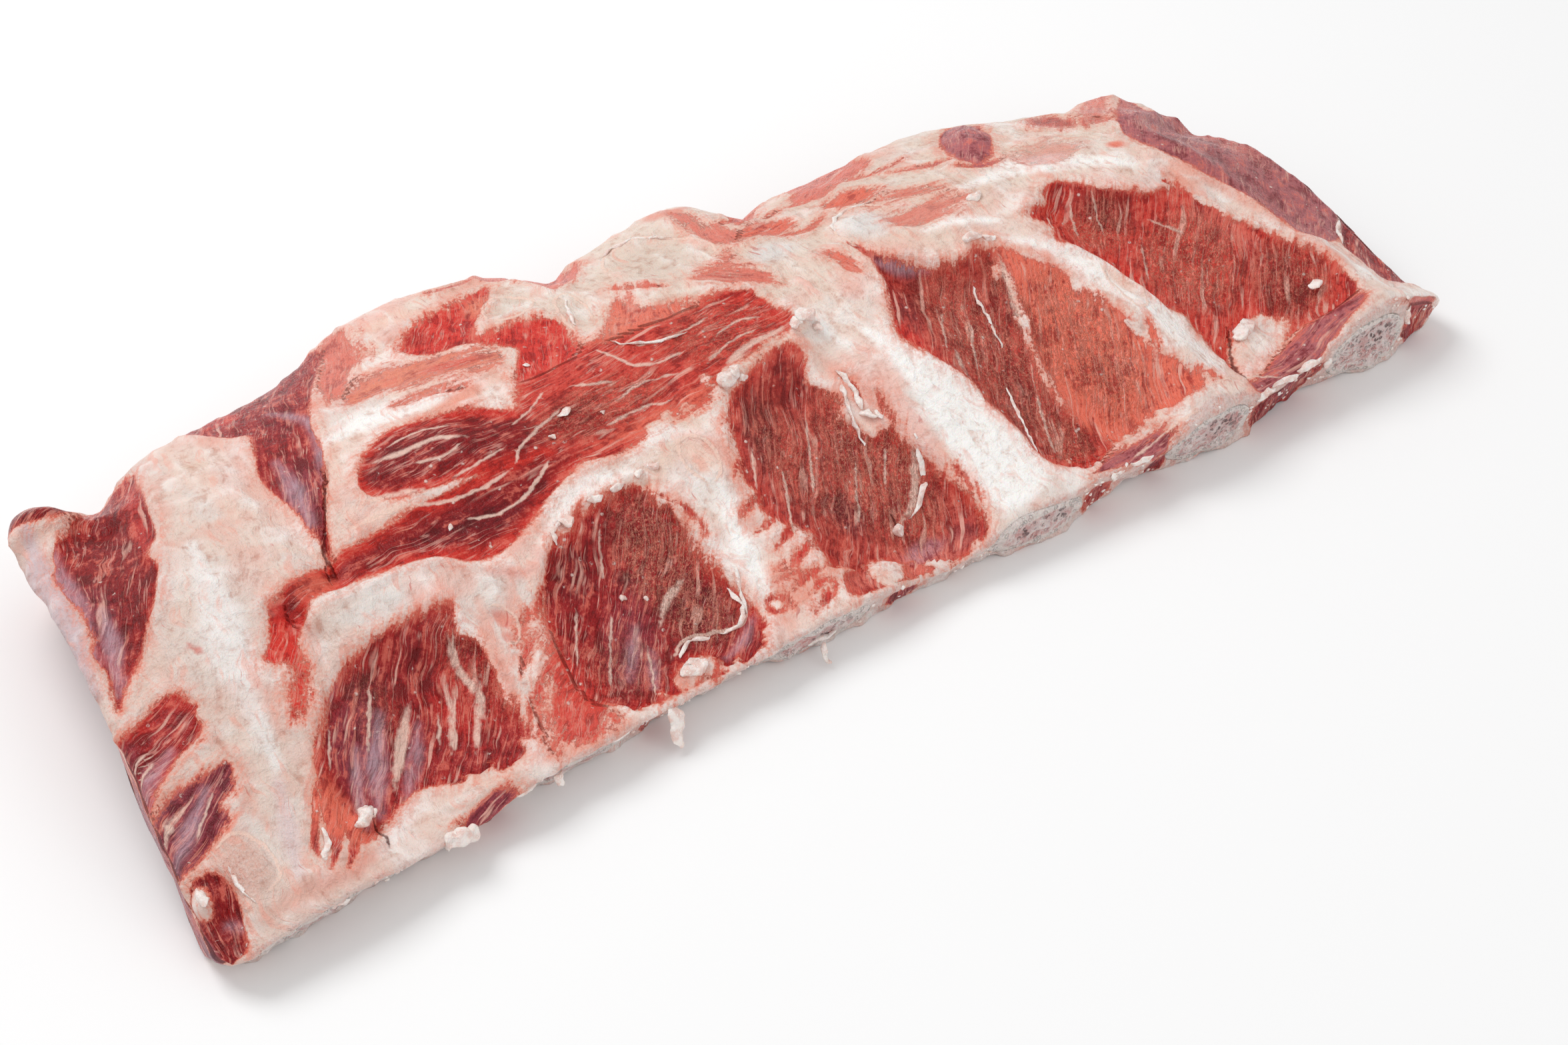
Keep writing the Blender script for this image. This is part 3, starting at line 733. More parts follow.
def topCoat(place):
    x, y = place[:, 0], place[:, 1]
    coat = emptyCoat(len(x))
    leanCoat(coat, x, y)
    coarse, middle, small = grain(place, 17, 3), grain(place, 6.5, 4), grain(place, 3.1, 5)
    lay(coat, "fatColour", colours["pink"], smooth(-0.1, 0.8, coarse + 0.5 * middle) * 0.8)
    lay(coat, "fatColour", colours["cool"], smooth(0.14, 0.34, grain(place, 10, 6) - 0.25 * small) * 0.55)
    lay(coat, "fatColour", colours["pearl"], smooth(0.2, 0.36, grain(place, 7, 13) + 0.2 * small) * 0.5)
    lay(coat, "fatColour", colours["blush"], smooth(0.25, 0.6, grain(place, 8, 7)) * 0.4)
    onCap = smooth(-2, 10, behindCapEdge(x, y)) * smooth(-70, -40, x)
    lay(coat, "fatColour", colours["beige"], 0.75 * onCap * (1 - 0.5 * smooth(0.0, 0.5, middle)))
    for name, wide, strength, line in fatBands:
        lay(coat, "fatColour", colours[name], strength * smooth(-1.8, 1.8, lineBy(line, wide, x, y)))
    lay(coat, "fatColour", colours["pearl"], smooth(-1.5, 1.5, withinBy(ribFourBand, x, y)))
    for name, *spot, strength in fatSpots:
        lay(coat, "fatColour", colours[name], strength * spotShare(x, y, *spot))
    for wide, line in seams:
        coat["seamBy"] = np.maximum(coat["seamBy"], lineBy(line, wide, x, y))
    coat["hairGap"], coat["hairWide"] = strokes(hairs, x, y)
    coat["splitGap"], coat["splitWide"] = strokes(splits, x, y)
    for wide, line in films:
        coat["film"] = np.maximum(coat["film"], smooth(-1.6, 1.4, lineBy(line, wide, x, y)))
    for wide, line, depth in splits:
        coat["lift"] -= depth * smooth(-1.8, 0.4, lineBy(line, wide, x, y))
    for bumpX, bumpY, wide, deep, turn, high in bumps:
        coat["lift"] += high * spotShare(x, y, bumpX, bumpY, wide, deep, turn)
    lean = smooth(-0.6, 0.8, coat["leanBy"])
    fibre = coat["fibre"]
    strands = grain(fibre * (0.11, 0.40, 1), 1, 8) * 0.30 + grain(fibre * (0.2, 0.62, 1), 1, 9) * 0.16
    fold = np.clip(1 - 3.2 * np.abs(grain(place, 9, 11)), 0, 1) ** 2 * smooth(-0.3, 0.4, coarse + middle)
    fat = 0.46 * middle + 0.16 * small + 0.08 * grain(place, 1.9, 10) + 0.5 * fold
    coat["lift"] += mix(fat, strands + 0.22 * middle, lean)
    lay(coat, "fatColour", colours["pearl"], 0.5 * fold)
    lay(coat, "fatColour", colours["shade"], 0.5 * (1 - smooth(-185, -90, x)) * (1 - 0.6 * fold))
    back = (1 - across(x, y)) * breadth
    cut = 1 - smooth(-0.9, 0.9, back - lineAt(sawnLooks["fold"], x) - 0.9 * small)
    coat["leanBy"] = mix(coat["leanBy"], mix(-2.2, 1.5, smooth(200, 206, x)) + 1.4 * middle, cut)
    lay(coat, "leanColour", colours["mauve"], 0.7 * cut)
    lay(coat, "fatColour", colours["dust"], 0.9 * cut)
    coat["crumble"] = np.maximum(np.maximum(cut, 0.6 * smooth(5, 0, back)), 0.6 * spotShare(x, y, -195, -70, 8, 12))
    return coat


# The sawn face by x: where lean shows in it, how far it reaches back on top and how far its top edge is rubbed down.
sawnLooks = {
    "lean": [(-133, -122), (-81, -71), (3, 13), (73, 85), (98, 108), (137, 169), (203, 218)],
    "fold": [
        (-215, 0.5), (-165, 0.8), (-130, 1), (-100, 0.3), (-45, 1), (-20, 0.6), (25, 0.3), (45, 1), (60, 1.8), (72, 1.2),
        (82, 2.5), (92, 2), (98, 0.4), (108, 3), (122, 3.8), (133, 2.5), (142, 1.6), (150, 1.8), (160, 1), (171, 2.2),
        (180, 2.8), (197, 2.8), (204, 1.5), (226, 1),
    ],
    "bevel": [
        (-215, 0.8), (-60, 0.8), (-20, 0.8), (25, 0.2), (42, 1.4), (60, 2), (75, 1.2), (95, 0.8), (108, 1.5), (122, 2),
        (134, 1.5), (150, 0.8), (170, 1.2), (180, 2), (198, 2), (206, 1), (226, 0.6),
    ],
    "bevelDeep": 6.5,
}


def faceLean(x):
    # how far each place is inside a stretch of lean along the sawn face
    return np.max([(end - start) / 2 - np.abs(x - (start + end) / 2) for start, end in sawnLooks["lean"]], axis=0)


def rubbedDown(place, grid):
    # how far the top edge of the sawn face is lowered
    x = place[:, 0]
    back = (1 - across(x, place[:, 1])) * breadth
    near = 1 - smooth(0, sawnLooks["bevelDeep"], back)
    return lineAt(sawnLooks["bevel"], x) * near * smooth(0.25, 1, grid["share"]) * (grid["side"] <= sawnSide)


def sawnCoat(place, share):
    # the face sawn through the ribs: crumbs of fat and bone, with lean in some stretches
    x = place[:, 0]
    coat = emptyCoat(len(x))
    coarse, small = grain(place, 6, 21), grain(place, 2.4, 22)
    jag = smooth(0.3, 0.02, share) + smooth(0.62, 0.9, share) * (1 - smooth(200, 206, x))
    coat["leanBy"] = 0.7 * faceLean(x) - 0.4 + 1.7 * coarse + 0.8 * small - 3.2 * jag
    coat["leanColour"] = mix(colours["lean"], colours["purple"], smooth(-0.4, 0.6, grain(place, 9, 23))[:, None])
    coat["fatColour"] = np.tile(colours["dust"], (len(x), 1))
    lay(coat, "fatColour", colours["pearl"], smooth(0.0, 0.6, small) * 0.6)
    lay(coat, "fatColour", colours["pink"], smooth(0.0, 0.7, coarse) * 0.6)
    lay(coat, "fatColour", colours["rose"], smooth(0.35, 0.8, -coarse) * 0.5)
    coat["fibre"] = np.stack([place[:, 2], x, np.full(len(x), 900.0)], 1)
    coat["fringe"] += 1.0
    coat["crumble"] += 1.0
    coat["lift"] = 0.55 * coarse + 0.5 * small + 0.3 * grain(place, 1.5, 24) - 0.5 * smooth(-0.5, 1.5, coat["leanBy"])
    coat["lift"] += 1.1 * grain(place, 4.2, 25) * smooth(0.45, 0.05, share)
    return coat


def underCoat(place):
    # the inner side: pale ribs under a thin skin, with lean between them
    x, y = place[:, 0], place[:, 1]
    coat = emptyCoat(len(x))
    t = across(x, y)
    coarse, middle = grain(place, 14, 31), grain(place, 5, 32)
    edge = smooth(0.05, 0.13, t) * (1 - smooth(0.88, 0.95, t))
    coat["leanBy"] = (0.45 - ribShare(x, t)) * 9 * edge - 4 * (1 - edge) + 1.6 * coarse + 0.8 * middle
    coat["leanColour"] = mix(colours["deep"], colours["purple"], smooth(-0.5, 0.6, coarse)[:, None])
    lay(coat, "fatColour", colours["pink"], smooth(-0.3, 0.8, middle) * 0.7)
    lay(coat, "fatColour", colours["cool"], smooth(0.4, 0.9, ribShare(x, t)) * 0.7)
    turn = math.radians(128)
    coat["fibre"] = np.stack([x * math.cos(turn) + y * math.sin(turn), y * math.cos(turn) - x * math.sin(turn),
                              np.full(len(x), 700.0)], 1)
    coat["fringe"] += 1.2
    coat["film"] += 0.35 + 0.25 * smooth(-0.4, 0.6, coarse)
    coat["lift"] = (0.4 * middle + 0.2 * grain(place, 2.6, 33)) * smooth(0.5, 3, archAt(x, y))
    return coat


def chineCoat(place, share):
    # the edge cut along the backbone: lean and fat in patches between the rib ends
    x = place[:, 0]
    coat = emptyCoat(len(x))
    coarse, middle = grain(place, 11, 41), grain(place, 4.5, 42)
    bone = ribShare(x, np.zeros(len(x)))
    coat["leanBy"] = 4.5 * coarse + 1.5 * middle + 1.6 - 3.5 * bone - 2.5 * smooth(0.7, 0.95, share)
    coat["leanColour"] = mix(colours["lean"], colours["rose"], smooth(-0.5, 0.7, middle)[:, None])
    lay(coat, "fatColour", colours["pink"], smooth(-0.5, 0.6, middle))
    lay(coat, "fatColour", colours["cool"], smooth(0.1, 0.8, -coarse) * 0.6)
    coat["fibre"] = np.stack([place[:, 2] + 0.5 * x, x, np.full(len(x), 800.0)], 1)
    coat["fringe"] += 1.5
    coat["crumble"] += 0.5
    coat["lift"] = 0.7 * coarse + 0.5 * middle + 0.25 * grain(place, 2.2, 43)
    return coat


def endCoat(place, share):
    # the two cut ends: a sheet of muscle with film on it, between fat above and below
    x = place[:, 0]
    coat = emptyCoat(len(x))
    coarse, middle = grain(place, 9, 51), grain(place, 3.6, 52)
    left = (x < 0).astype(float)
    coat["leanBy"] = 5 * np.sin(np.pi * np.clip(share, 0, 1)) - 2.2 + 1.8 * coarse + 0.6 * middle
    tint = mix(colours["mauve"], colours["rose"], left[:, None] * 0.5)
    coat["leanColour"] = mix(tint, colours["purple"], smooth(-0.3, 0.7, coarse)[:, None])
    lay(coat, "fatColour", colours["pink"], smooth(-0.4, 0.7, middle) * 0.8)
    coat["fibre"] = np.stack([place[:, 1] + place[:, 2], place[:, 2] * 1.2 - 0.2 * place[:, 1], np.full(len(x), 600.0)], 1)
    coat["fringe"] += 0.8
    coat["film"] = 0.3 + 0.4 * left * smooth(-0.3, 0.6, coarse)
    coat["lift"] = 0.6 * coarse + 0.35 * middle
    return coat


def blendCoats(base, over, where, share):
    # lays one coat over another by a share, at the places where the share isn't nothing
    for key, value in over.items():
        part = share[where]
        if key == "fibre":
            base[key][where] = np.where(part[:, None] > 0.5, value, base[key][where])
        elif value.ndim == 2:
            base[key][where] = mix(base[key][where], value, part[:, None])
        else:
            base[key][where] = mix(base[key][where], value, part)


meatMesh = {
    "step": 1.16, "topRows": 142, "underRows": 40, "faceRows": 12, "filletRows": 4, "ringRows": 5, "closingRows": 8,
    "sliver": 0.05,
}
topSide, sawnSide, underSide, chineSide = range(4)


def edgeRows(height, top, under):
    # a rounded edge seen from the side, as (inset, share of the height), top first
    turns = np.linspace(0, math.pi / 2, meatMesh["filletRows"] + 1)
    rows = [(top * (1 - math.sin(a)), 1 - top / height * (1 - math.cos(a))) for a in turns]
    steps = meatMesh["faceRows"]
    rows += [(0, mix(1 - top / height, under / height, i / steps)) for i in range(1, steps)]
    return rows + [(under * (1 - math.sin(a)), under / height * (1 - math.cos(a))) for a in turns[::-1]]


def profileRows():
    # lines along the rack, as (share across, its change with the inset, share of the height, side)
    fillet = rack["fillet"]
    first, last = fillet["chineTop"] / breadth, 1 - fillet["sawnTop"] / breadth
    strip = rack["restStrip"] / breadth
    topShares = np.arange(1, meatMesh["topRows"]) / meatMesh["topRows"]
    rows = [(mix(first, last, u), (1 - 2 * u) / breadth, 1, topSide) for u in topShares]
    for inset, share in edgeRows(rack["sawnThickness"][0][1], fillet["sawnTop"], fillet["sawnUnder"]):
        rows.append((1 - inset / breadth, -1 / breadth, share, sawnSide))
    for u in np.linspace(0, 1, meatMesh["underRows"] + 1):
        rows.append((mix(1 - strip, strip, u), 0, 0, underSide))
    for inset, share in edgeRows(rack["thicknessAcross"][0][1], fillet["chineTop"], fillet["chineUnder"])[::-1]:
        rows.append((inset / breadth, 1 / breadth, share, chineSide))
    return np.array(rows)


def slabGrid():
    # the loops round the rack from its left end to its right end, each end closed by ever flatter loops
    rows = profileRows()
    length = rack["rightEnd"][1] - rack["leftEnd"][1]
    endShare = rack["fillet"]["end"] / length
    rings = np.arange(meatMesh["ringRows"]) / meatMesh["ringRows"]
    ringInset = rack["fillet"]["end"] * rack["endInset"] * (1 - rings) ** 3
    closings = mix(meatMesh["sliver"], 1, np.arange(meatMesh["closingRows"]) / meatMesh["closingRows"])
    count = round(length / meatMesh["step"])
    inner = mix(endShare, 1 - endShare, np.arange(count + 1) / count)
    flat, full = np.zeros(len(closings)), np.ones(len(rings))
    s = np.concatenate([flat, rings * endShare, inner, 1 - rings[::-1] * endShare, flat + 1])
    inset = np.concatenate([flat + ringInset[0], ringInset, 0 * inner, ringInset[::-1], flat + ringInset[0]])
    thin = np.concatenate([closings, full, 0 * inner + 1, full, closings[::-1]])
    end = np.concatenate([flat + 1, 0.5 * (1 - rings), 0 * inner, 0.5 * (1 - rings[::-1]), flat + 1])
    t = np.clip(rows[:, 0] + inset[:, None] * rows[:, 1], 0, 1)
    share = 0.5 + (rows[:, 2] - 0.5) * thin[:, None]
    shape = t.shape
    s, inset, t, share = [np.broadcast_to(v, shape).ravel() for v in (s[:, None], inset[:, None], t, share)]
    lean = rack["leftLean"]
    edge = alongRack(s, t)
    foot = lean["foot"] * (1 - smooth(lean["start"], lean["end"], t))
    x = edge + foot * (1 - share) * (1 - smooth(0, lean["fade"], edge - alongRack(np.zeros(len(s)), t)))
    y = mix(chineY(x), sawnY(x), t)
    y = y + lineAt(rack["sawnLean"], x) * (1 - share) * smooth(rack["sawnLeanFrom"], 1, t)
    z = mix(underside(x, y) + inset, topside(x, y) - inset, share)
    flow = np.stack([breadth * t - z, length * s, 0 * z], 1)
    grid = {"share": share, "side": np.tile(rows[:, 3], shape[0]), "end": np.repeat(end, shape[1]), "flow": flow}
    return np.stack([x, y, z], 1), shape, grid


def zigzag(places):
    # triangles over a closed loop, from one of its tips to the other
    size = len(places)
    tip = int(np.argmin(places))
    ahead, back = (tip + 1) % size, (tip - 1) % size
    faces = [(tip, ahead, back)]
    while (ahead + 1) % size != back:
        nextAhead, nextBack = (ahead + 1) % size, (back - 1) % size
        if places[nextAhead] <= places[nextBack]:
            faces.append((ahead, nextAhead, back))
            ahead = nextAhead
        else:
            faces.append((nextBack, back, ahead))
            back = nextBack
    return faces


def loftFaces(shape, firstPlaces, lastPlaces):
    # the faces between loops of equal size, and those that close both ends
    loops, size = shape
    k, i = [v.ravel() for v in np.meshgrid(np.arange(loops - 1), np.arange(size), indexing="ij")]
    a, b = k * size + i, k * size + (i + 1) % size
    faces = np.stack([a, b, b + size, a + size], 1).tolist()
    last = (loops - 1) * size
    faces += [(a, c, b) for a, b, c in zigzag(firstPlaces)]
    faces += [(last + a, last + b, last + c) for a, b, c in zigzag(lastPlaces)]
    return faces


def toFrame(place):
    # plan numbers to metres in the part's own frame
    return (place - np.array([*rack["middle"], 0])) * millimetre


def toPlan(place):
    return place / millimetre + np.array([*rack["middle"], 0])


def makeObject(name, place, faces):
    mesh = bpy.data.meshes.new(name)
    mesh.from_pydata(place.tolist(), [], faces)
    mesh.update()
    made = bpy.data.objects.new(name, mesh)
    bpy.context.scene.collection.objects.link(made)
    return made


def readPlaces(mesh):
    flat = np.zeros(len(mesh.vertices) * 3, np.float32)
    mesh.vertices.foreach_get("co", flat)
    return flat.reshape(-1, 3).astype(float)


def readNormals(mesh):
    flat = np.zeros(len(mesh.vertices) * 3, np.float32)
    mesh.vertex_normals.foreach_get("vector", flat)
    return flat.reshape(-1, 3).astype(float)


def writePlaces(mesh, place):
    mesh.vertices.foreach_set("co", place.astype(np.float32).ravel())
    mesh.update()


def writeAttribute(mesh, name, values):
    kind, field = ("FLOAT_VECTOR", "vector") if values.ndim == 2 else ("FLOAT", "value")
    attribute = mesh.attributes.new(name, kind, "POINT")
    attribute.data.foreach_set(field, values.astype(np.float32).ravel())


def dressSlab(place, grid):
    # every place of the slab with its coat, by the side that it is on
    side, share, end = grid["side"], grid["share"], grid["end"]
    coat = topCoat(place)
    overs = [
        (sawnCoat, (side == sawnSide) * (1 - smooth(0.72, 0.97, share))),
        (chineCoat, (side == chineSide) * (1 - smooth(0.35, 0.85, share))),
        (underCoat, (side == underSide) * 1.0),
        (endCoat, smooth(0.2, 0.9, end) * (1 - smooth(0.86, 1.0, share)) * smooth(0, 0.1, share)),
    ]
    for make, weight in overs:
        where = np.nonzero(weight > 0)[0]
        over = make(place[where]) if make is underCoat else make(place[where], share[where])
        blendCoats(coat, over, where, weight)
    coat["flow"] = grid["flow"]
    return coat


def boolean(target, tool, operation):
    # joins or cuts two closed meshes and puts the result in the first
    modifier = target.modifiers.new("cut", "BOOLEAN")
    modifier.operation, modifier.object, modifier.solver = operation, tool, "MANIFOLD"
    result = bpy.data.meshes.new_from_object(target.evaluated_get(bpy.context.evaluated_depsgraph_get()))
    target.modifiers.remove(modifier)
    old, target.data = target.data, result
    bpy.data.meshes.remove(old)


def removeObject(made):
    mesh = made.data
    bpy.data.objects.remove(made)
    bpy.data.meshes.remove(mesh)


def ribBar(rib, grown, sides, steps):
    # a rib as a bar that runs out past both edges, grown on every side
    behind, front, wide, thick = rib
    cover, power, overrun = rack["ribCover"], rack["ribPower"], rack["ribOverrun"]
    turn = 2 * np.pi * np.arange(sides) / sides
    section = [np.sign(v) * np.abs(v) ** (2 / power) for v in (np.cos(turn), np.sin(turn))]
    loops = []
    for k in range(steps + 1):
        t = k / steps
        x = np.array([mix(behind, front, t)])
        y = mix(chineY(x), sawnY(x), t)
        halfWide = mix(rack["ribBehind"][0], wide, t) / 2 + grown
        halfThick = mix(rack["ribBehind"][1], thick, t) / 2 + grown
        middle = archAt(x, y) + mix(cover["behind"], cover["front"], t) + halfThick - grown
        reach = overrun * (int(k == steps) - int(k == 0))
        loops.append(np.stack([x + halfWide * section[0], y - reach + 0 * turn, middle + halfThick * section[1]], 1))
    place = np.concatenate(loops)
    return place, loftFaces((steps + 1, sides), loops[0][:, 0], loops[-1][:, 0])


place, shape, grid = slabGrid()
slab = makeObject("slab", toFrame(place), loftFaces(shape, -place[: shape[1], 1], -place[-shape[1]:, 1]))
coat = dressSlab(place, grid)
place = place + readNormals(slab.data) * coat["lift"][:, None]
place[:, 2] = np.maximum(place[:, 2] - rubbedDown(place, grid), 0)
overRib = (ribTop(place[:, 0], place[:, 1]) + 0.6) * (grid["side"] == topSide)
place[:, 2] = np.maximum(place[:, 2], overRib)
writePlaces(slab.data, toFrame(place))
print("slab made:", len(place), "places")

boneLooks = {
    "sides": 44, "steps": 22, "proud": 0.5, "rim": 1.7, "rough": 0.35, "gap": 0.08,
    "pores": {  # on the sawn ends in front: x, height and two half sizes
        3: [(-20, 7, 6, 2.5), (-8, 8, 4, 2)], 4: [(63, 9.5, 7, 3.6), (52, 8.5, 5, 2.6)], 5: [(124, 12.5, 8.5, 4.6)],
        6: [(189, 14.5, 11, 5)],
    },
}


def barInset(place, rib):
    # how far each place is under the side of its rib's bar, in mm
    behind, front, wide, thick = rib
    x, y, z = place.T
    t = across(x, y)
    for _ in range(3):
        t = across(mix(behind, front, t), y)
    t = np.clip(t, 0, 1)
    middleX = mix(behind, front, t)
    halfWide = mix(rack["ribBehind"][0], wide, t) / 2
    halfThick = mix(rack["ribBehind"][1], thick, t) / 2
    cover = rack["ribCover"]
    lineY = mix(chineY(middleX), sawnY(middleX), t)
    middleZ = archAt(middleX, lineY) + mix(cover["behind"], cover["front"], t) + halfThick
    power = rack["ribPower"]
    reach = (np.abs((x - middleX) / halfWide) ** power + np.abs((z - middleZ) / halfThick) ** power) ** (1 / power)
    return (1 - reach) * np.minimum(halfWide, halfThick)


def makeBone(number, rib):
    # the rib itself: a bar cut off with the meat, standing a little proud at both ends
    bone = makeObject(f"ribBone{number}", *shaped(ribBar(rib, 0, boneLooks["sides"], boneLooks["steps"])))
    boolean(bone, slab, "INTERSECT")
    place = toPlan(readPlaces(bone.data))
    inset = barInset(place, rib)
    outward = np.sign(across(place[:, 0], place[:, 1]) - 0.5)
    onEnd = smooth(0.0, 0.5, inset)
    core = smooth(boneLooks["rim"] * 0.7, boneLooks["rim"] * 1.3, inset)
    rough = grain(place, 2.2, 60 + number) * 0.6 + grain(place, 1.3, 70 + number) * 0.4
    lift = boneLooks["proud"] * (1 - 0.5 * core) + boneLooks["rough"] * rough * core
    place[:, 1] -= outward * onEnd * lift
    writePlaces(bone.data, toFrame(place))
    writeAttribute(bone.data, "inset", inset)
    spots = [spotShare(place[:, 0], place[:, 2], *spot) for spot in boneLooks["pores"].get(number, [])]
    behind = 0.6 * (place[:, 1] > 0) * smooth(-0.1, 0.5, grain(place, 6, 80 + number))
    writeAttribute(bone.data, "pores", np.max([behind, *spots], axis=0))
    return bone


def shaped(parts):
    place, faces = parts
    return toFrame(place), faces


bones = [makeBone(i + 1, rib) for i, rib in enumerate(rack["ribs"])]
for rib in rack["ribs"]:
    tunnel = makeObject("tunnel", *shaped(ribBar(rib, boneLooks["gap"], boneLooks["sides"], boneLooks["steps"])))
    boolean(slab, tunnel, "DIFFERENCE")
    removeObject(tunnel)
meat = slab
meat.name = meat.data.name = "ribMeat"
print("bones cut:", [len(bone.data.vertices) for bone in bones])


def carryCoat(mesh, oldPlace):
    # gives each place of the cut mesh the coat of the nearest place of the slab, and plain fat in the tunnels
    tree = KDTree(len(oldPlace))
    for i, co in enumerate(oldPlace):
        tree.insert(co, i)
    tree.balance()
    found = [tree.find(co)[1:] for co in readPlaces(mesh)]
    nearest = np.array([i for i, _ in found])
    inTunnel = np.array([gap for _, gap in found]) > 1.2 * millimetre
    for key, values in coat.items():
        if key == "lift":
            continue
        carried = values[nearest]
        if key in ("leanBy", "seamBy", "hairWide", "splitWide"):
            carried = np.where(inTunnel, -6.0, carried)
        writeAttribute(mesh, key, carried)


carryCoat(meat.data, toFrame(place))
for piece in [meat, *bones]:
    piece.data.shade_smooth()
    piece.data.set_sharp_from_angle(angle=math.radians(60))
print("meat dressed:", len(meat.data.vertices), "places")


def addNode(tree, kind, inputs=None, **settings):
    made = tree.nodes.new(kind)
    for name, value in settings.items():
        setattr(made, name, value)
    for name, value in (inputs or {}).items():
        if isinstance(value, bpy.types.NodeSocket):
            tree.links.new(value, made.inputs[name])
        else:
            made.inputs[name].default_value = value
    return made


def maths(tree, operation, a, b=0.0):
    return addNode(tree, "ShaderNodeMath", {0: a, 1: b}, operation=operation).outputs[0]


def ramp(tree, value, start, end):
    # 0 before the start, 1 after the end
    inputs = {"Value": value, "From Min": start, "From Max": end}
    return addNode(tree, "ShaderNodeMapRange", inputs, interpolation_type="SMOOTHSTEP").outputs[0]


def tinted(tree, share, a, b, blend="MIX"):
    inputs = {0: share, 6: a, 7: b}
    return addNode(tree, "ShaderNodeMix", inputs, data_type="RGBA", blend_type=blend).outputs[2]


def noise(tree, vector, scale, detail=2.0, rough=0.5, bend=0.0):
    inputs = {"Vector": vector, "Scale": scale, "Detail": detail, "Roughness": rough, "Distortion": bend}
    return addNode(tree, "ShaderNodeTexNoise", inputs).outputs[0]


def stretched(tree, vector, stretch):
    return addNode(tree, "ShaderNodeVectorMath", {0: vector, 1: stretch}, operation="MULTIPLY").outputs[0]


def carried(tree, name, output="Fac"):
    return addNode(tree, "ShaderNodeAttribute", attribute_name=name).outputs[output]


def inMillimetres(tree):
    # the place on the piece in mm
    return stretched(tree, addNode(tree, "ShaderNodeTexCoord").outputs["Object"], (1000, 1000, 1000))


def rgba(colour):
    return (*[float(v) for v in colour], 1.0)


def newGroup(name, inputs, outputs):
    tree = bpy.data.node_groups.new(name, "ShaderNodeTree")
    for side, sockets in (("INPUT", inputs), ("OUTPUT", outputs)):
        for socketName, kind in sockets:
            tree.interface.new_socket(socketName, in_out=side, socket_type=f"NodeSocket{kind}")
    return tree, tree.nodes.new("NodeGroupInput").outputs, tree.nodes.new("NodeGroupOutput").inputs


def placeGroup(tree, group, inputs):
    made = tree.nodes.new("ShaderNodeGroup")
    made.node_tree = group
    for name, value in inputs.items():
        if isinstance(value, bpy.types.NodeSocket):
            tree.links.new(value, made.inputs[name])
        else:
            made.inputs[name].default_value = value
    return made.outputs


def shifted(tree, vector, byX=0.0, byY=0.0):
    by = addNode(tree, "ShaderNodeCombineXYZ", {0: byX, 1: byY}).outputs[0]
    return addNode(tree, "ShaderNodeVectorMath", {0: vector, 1: by}, operation="ADD").outputs[0]


def centred(tree, value, height):
    # a noise turned to a length to both sides of nothing
    return maths(tree, "MULTIPLY", maths(tree, "SUBTRACT", value, 0.5), height)


def summed(tree, *parts):
    # the sum of (value, share) pairs
    total = maths(tree, "MULTIPLY", *parts[0])
    for value, share in parts[1:]:
        total = addNode(tree, "ShaderNodeMath", {0: value, 1: share, 2: total}, operation="MULTIPLY_ADD").outputs[0]
    return total


def toned(tree, tone, colour, dark, light):
    # darkens and lightens a colour by a tone round a half
    shade = tinted(tree, ramp(tree, tone, 0.36, 0.5), dark, (1, 1, 1, 1))
    shade = tinted(tree, ramp(tree, tone, 0.5, 0.66), shade, light)
    return tinted(tree, 1.0, colour, shade, "MULTIPLY")


def makeFatGrain():
    # fat: mottled and veined with pink, creased and lumpy, with thin rests of lean along the ribs
    sockets = [("Place", "Vector"), ("Flow", "Vector"), ("Colour", "Color")]
    tree, given, out = newGroup("fatGrain", sockets, [("Colour", "Color"), ("Height", "Float")])
    place, flow = given["Place"], given["Flow"]
    bent = shifted(tree, flow, 0.0, centred(tree, noise(tree, place, 0.07, 2), 14.0))
    broad = noise(tree, place, 0.10, 3, 0.55)
    small = noise(tree, place, 0.33, 4, 0.6, 0.3)
    crisp = noise(tree, place, 1.3, 3, 0.7)
    streak = noise(tree, stretched(tree, bent, (0.05, 0.30, 1)), 1, 4, 0.6)
    tone = summed(tree, (small, 0.36), (crisp, 0.10), (streak, 0.32), (broad, 0.22))
    colour = toned(tree, tone, given["Colour"], (0.78, 0.60, 0.55, 1), (1.08, 1.12, 1.13, 1))
    pink = maths(tree, "MULTIPLY", ramp(tree, streak, 0.50, 0.62), ramp(tree, broad, 0.42, 0.6))
    colour = tinted(tree, maths(tree, "MULTIPLY", pink, 0.5), colour, rgba(colours["blush"]))
    rest = noise(tree, stretched(tree, bent, (0.07, 0.55, 1)), 1, 3, 0.6, 0.4)
    rest = maths(tree, "MULTIPLY", ramp(tree, rest, 0.62, 0.70), ramp(tree, broad, 0.47, 0.62))
    colour = tinted(tree, maths(tree, "MULTIPLY", rest, 0.6), colour, rgba(paint(196, 78, 66)))
    tree.links.new(colour, out["Colour"])
    height = summed(tree, (small, 1.1), (crisp, 0.20), (streak, 0.7))
    tree.links.new(height, out["Height"])
    return tree


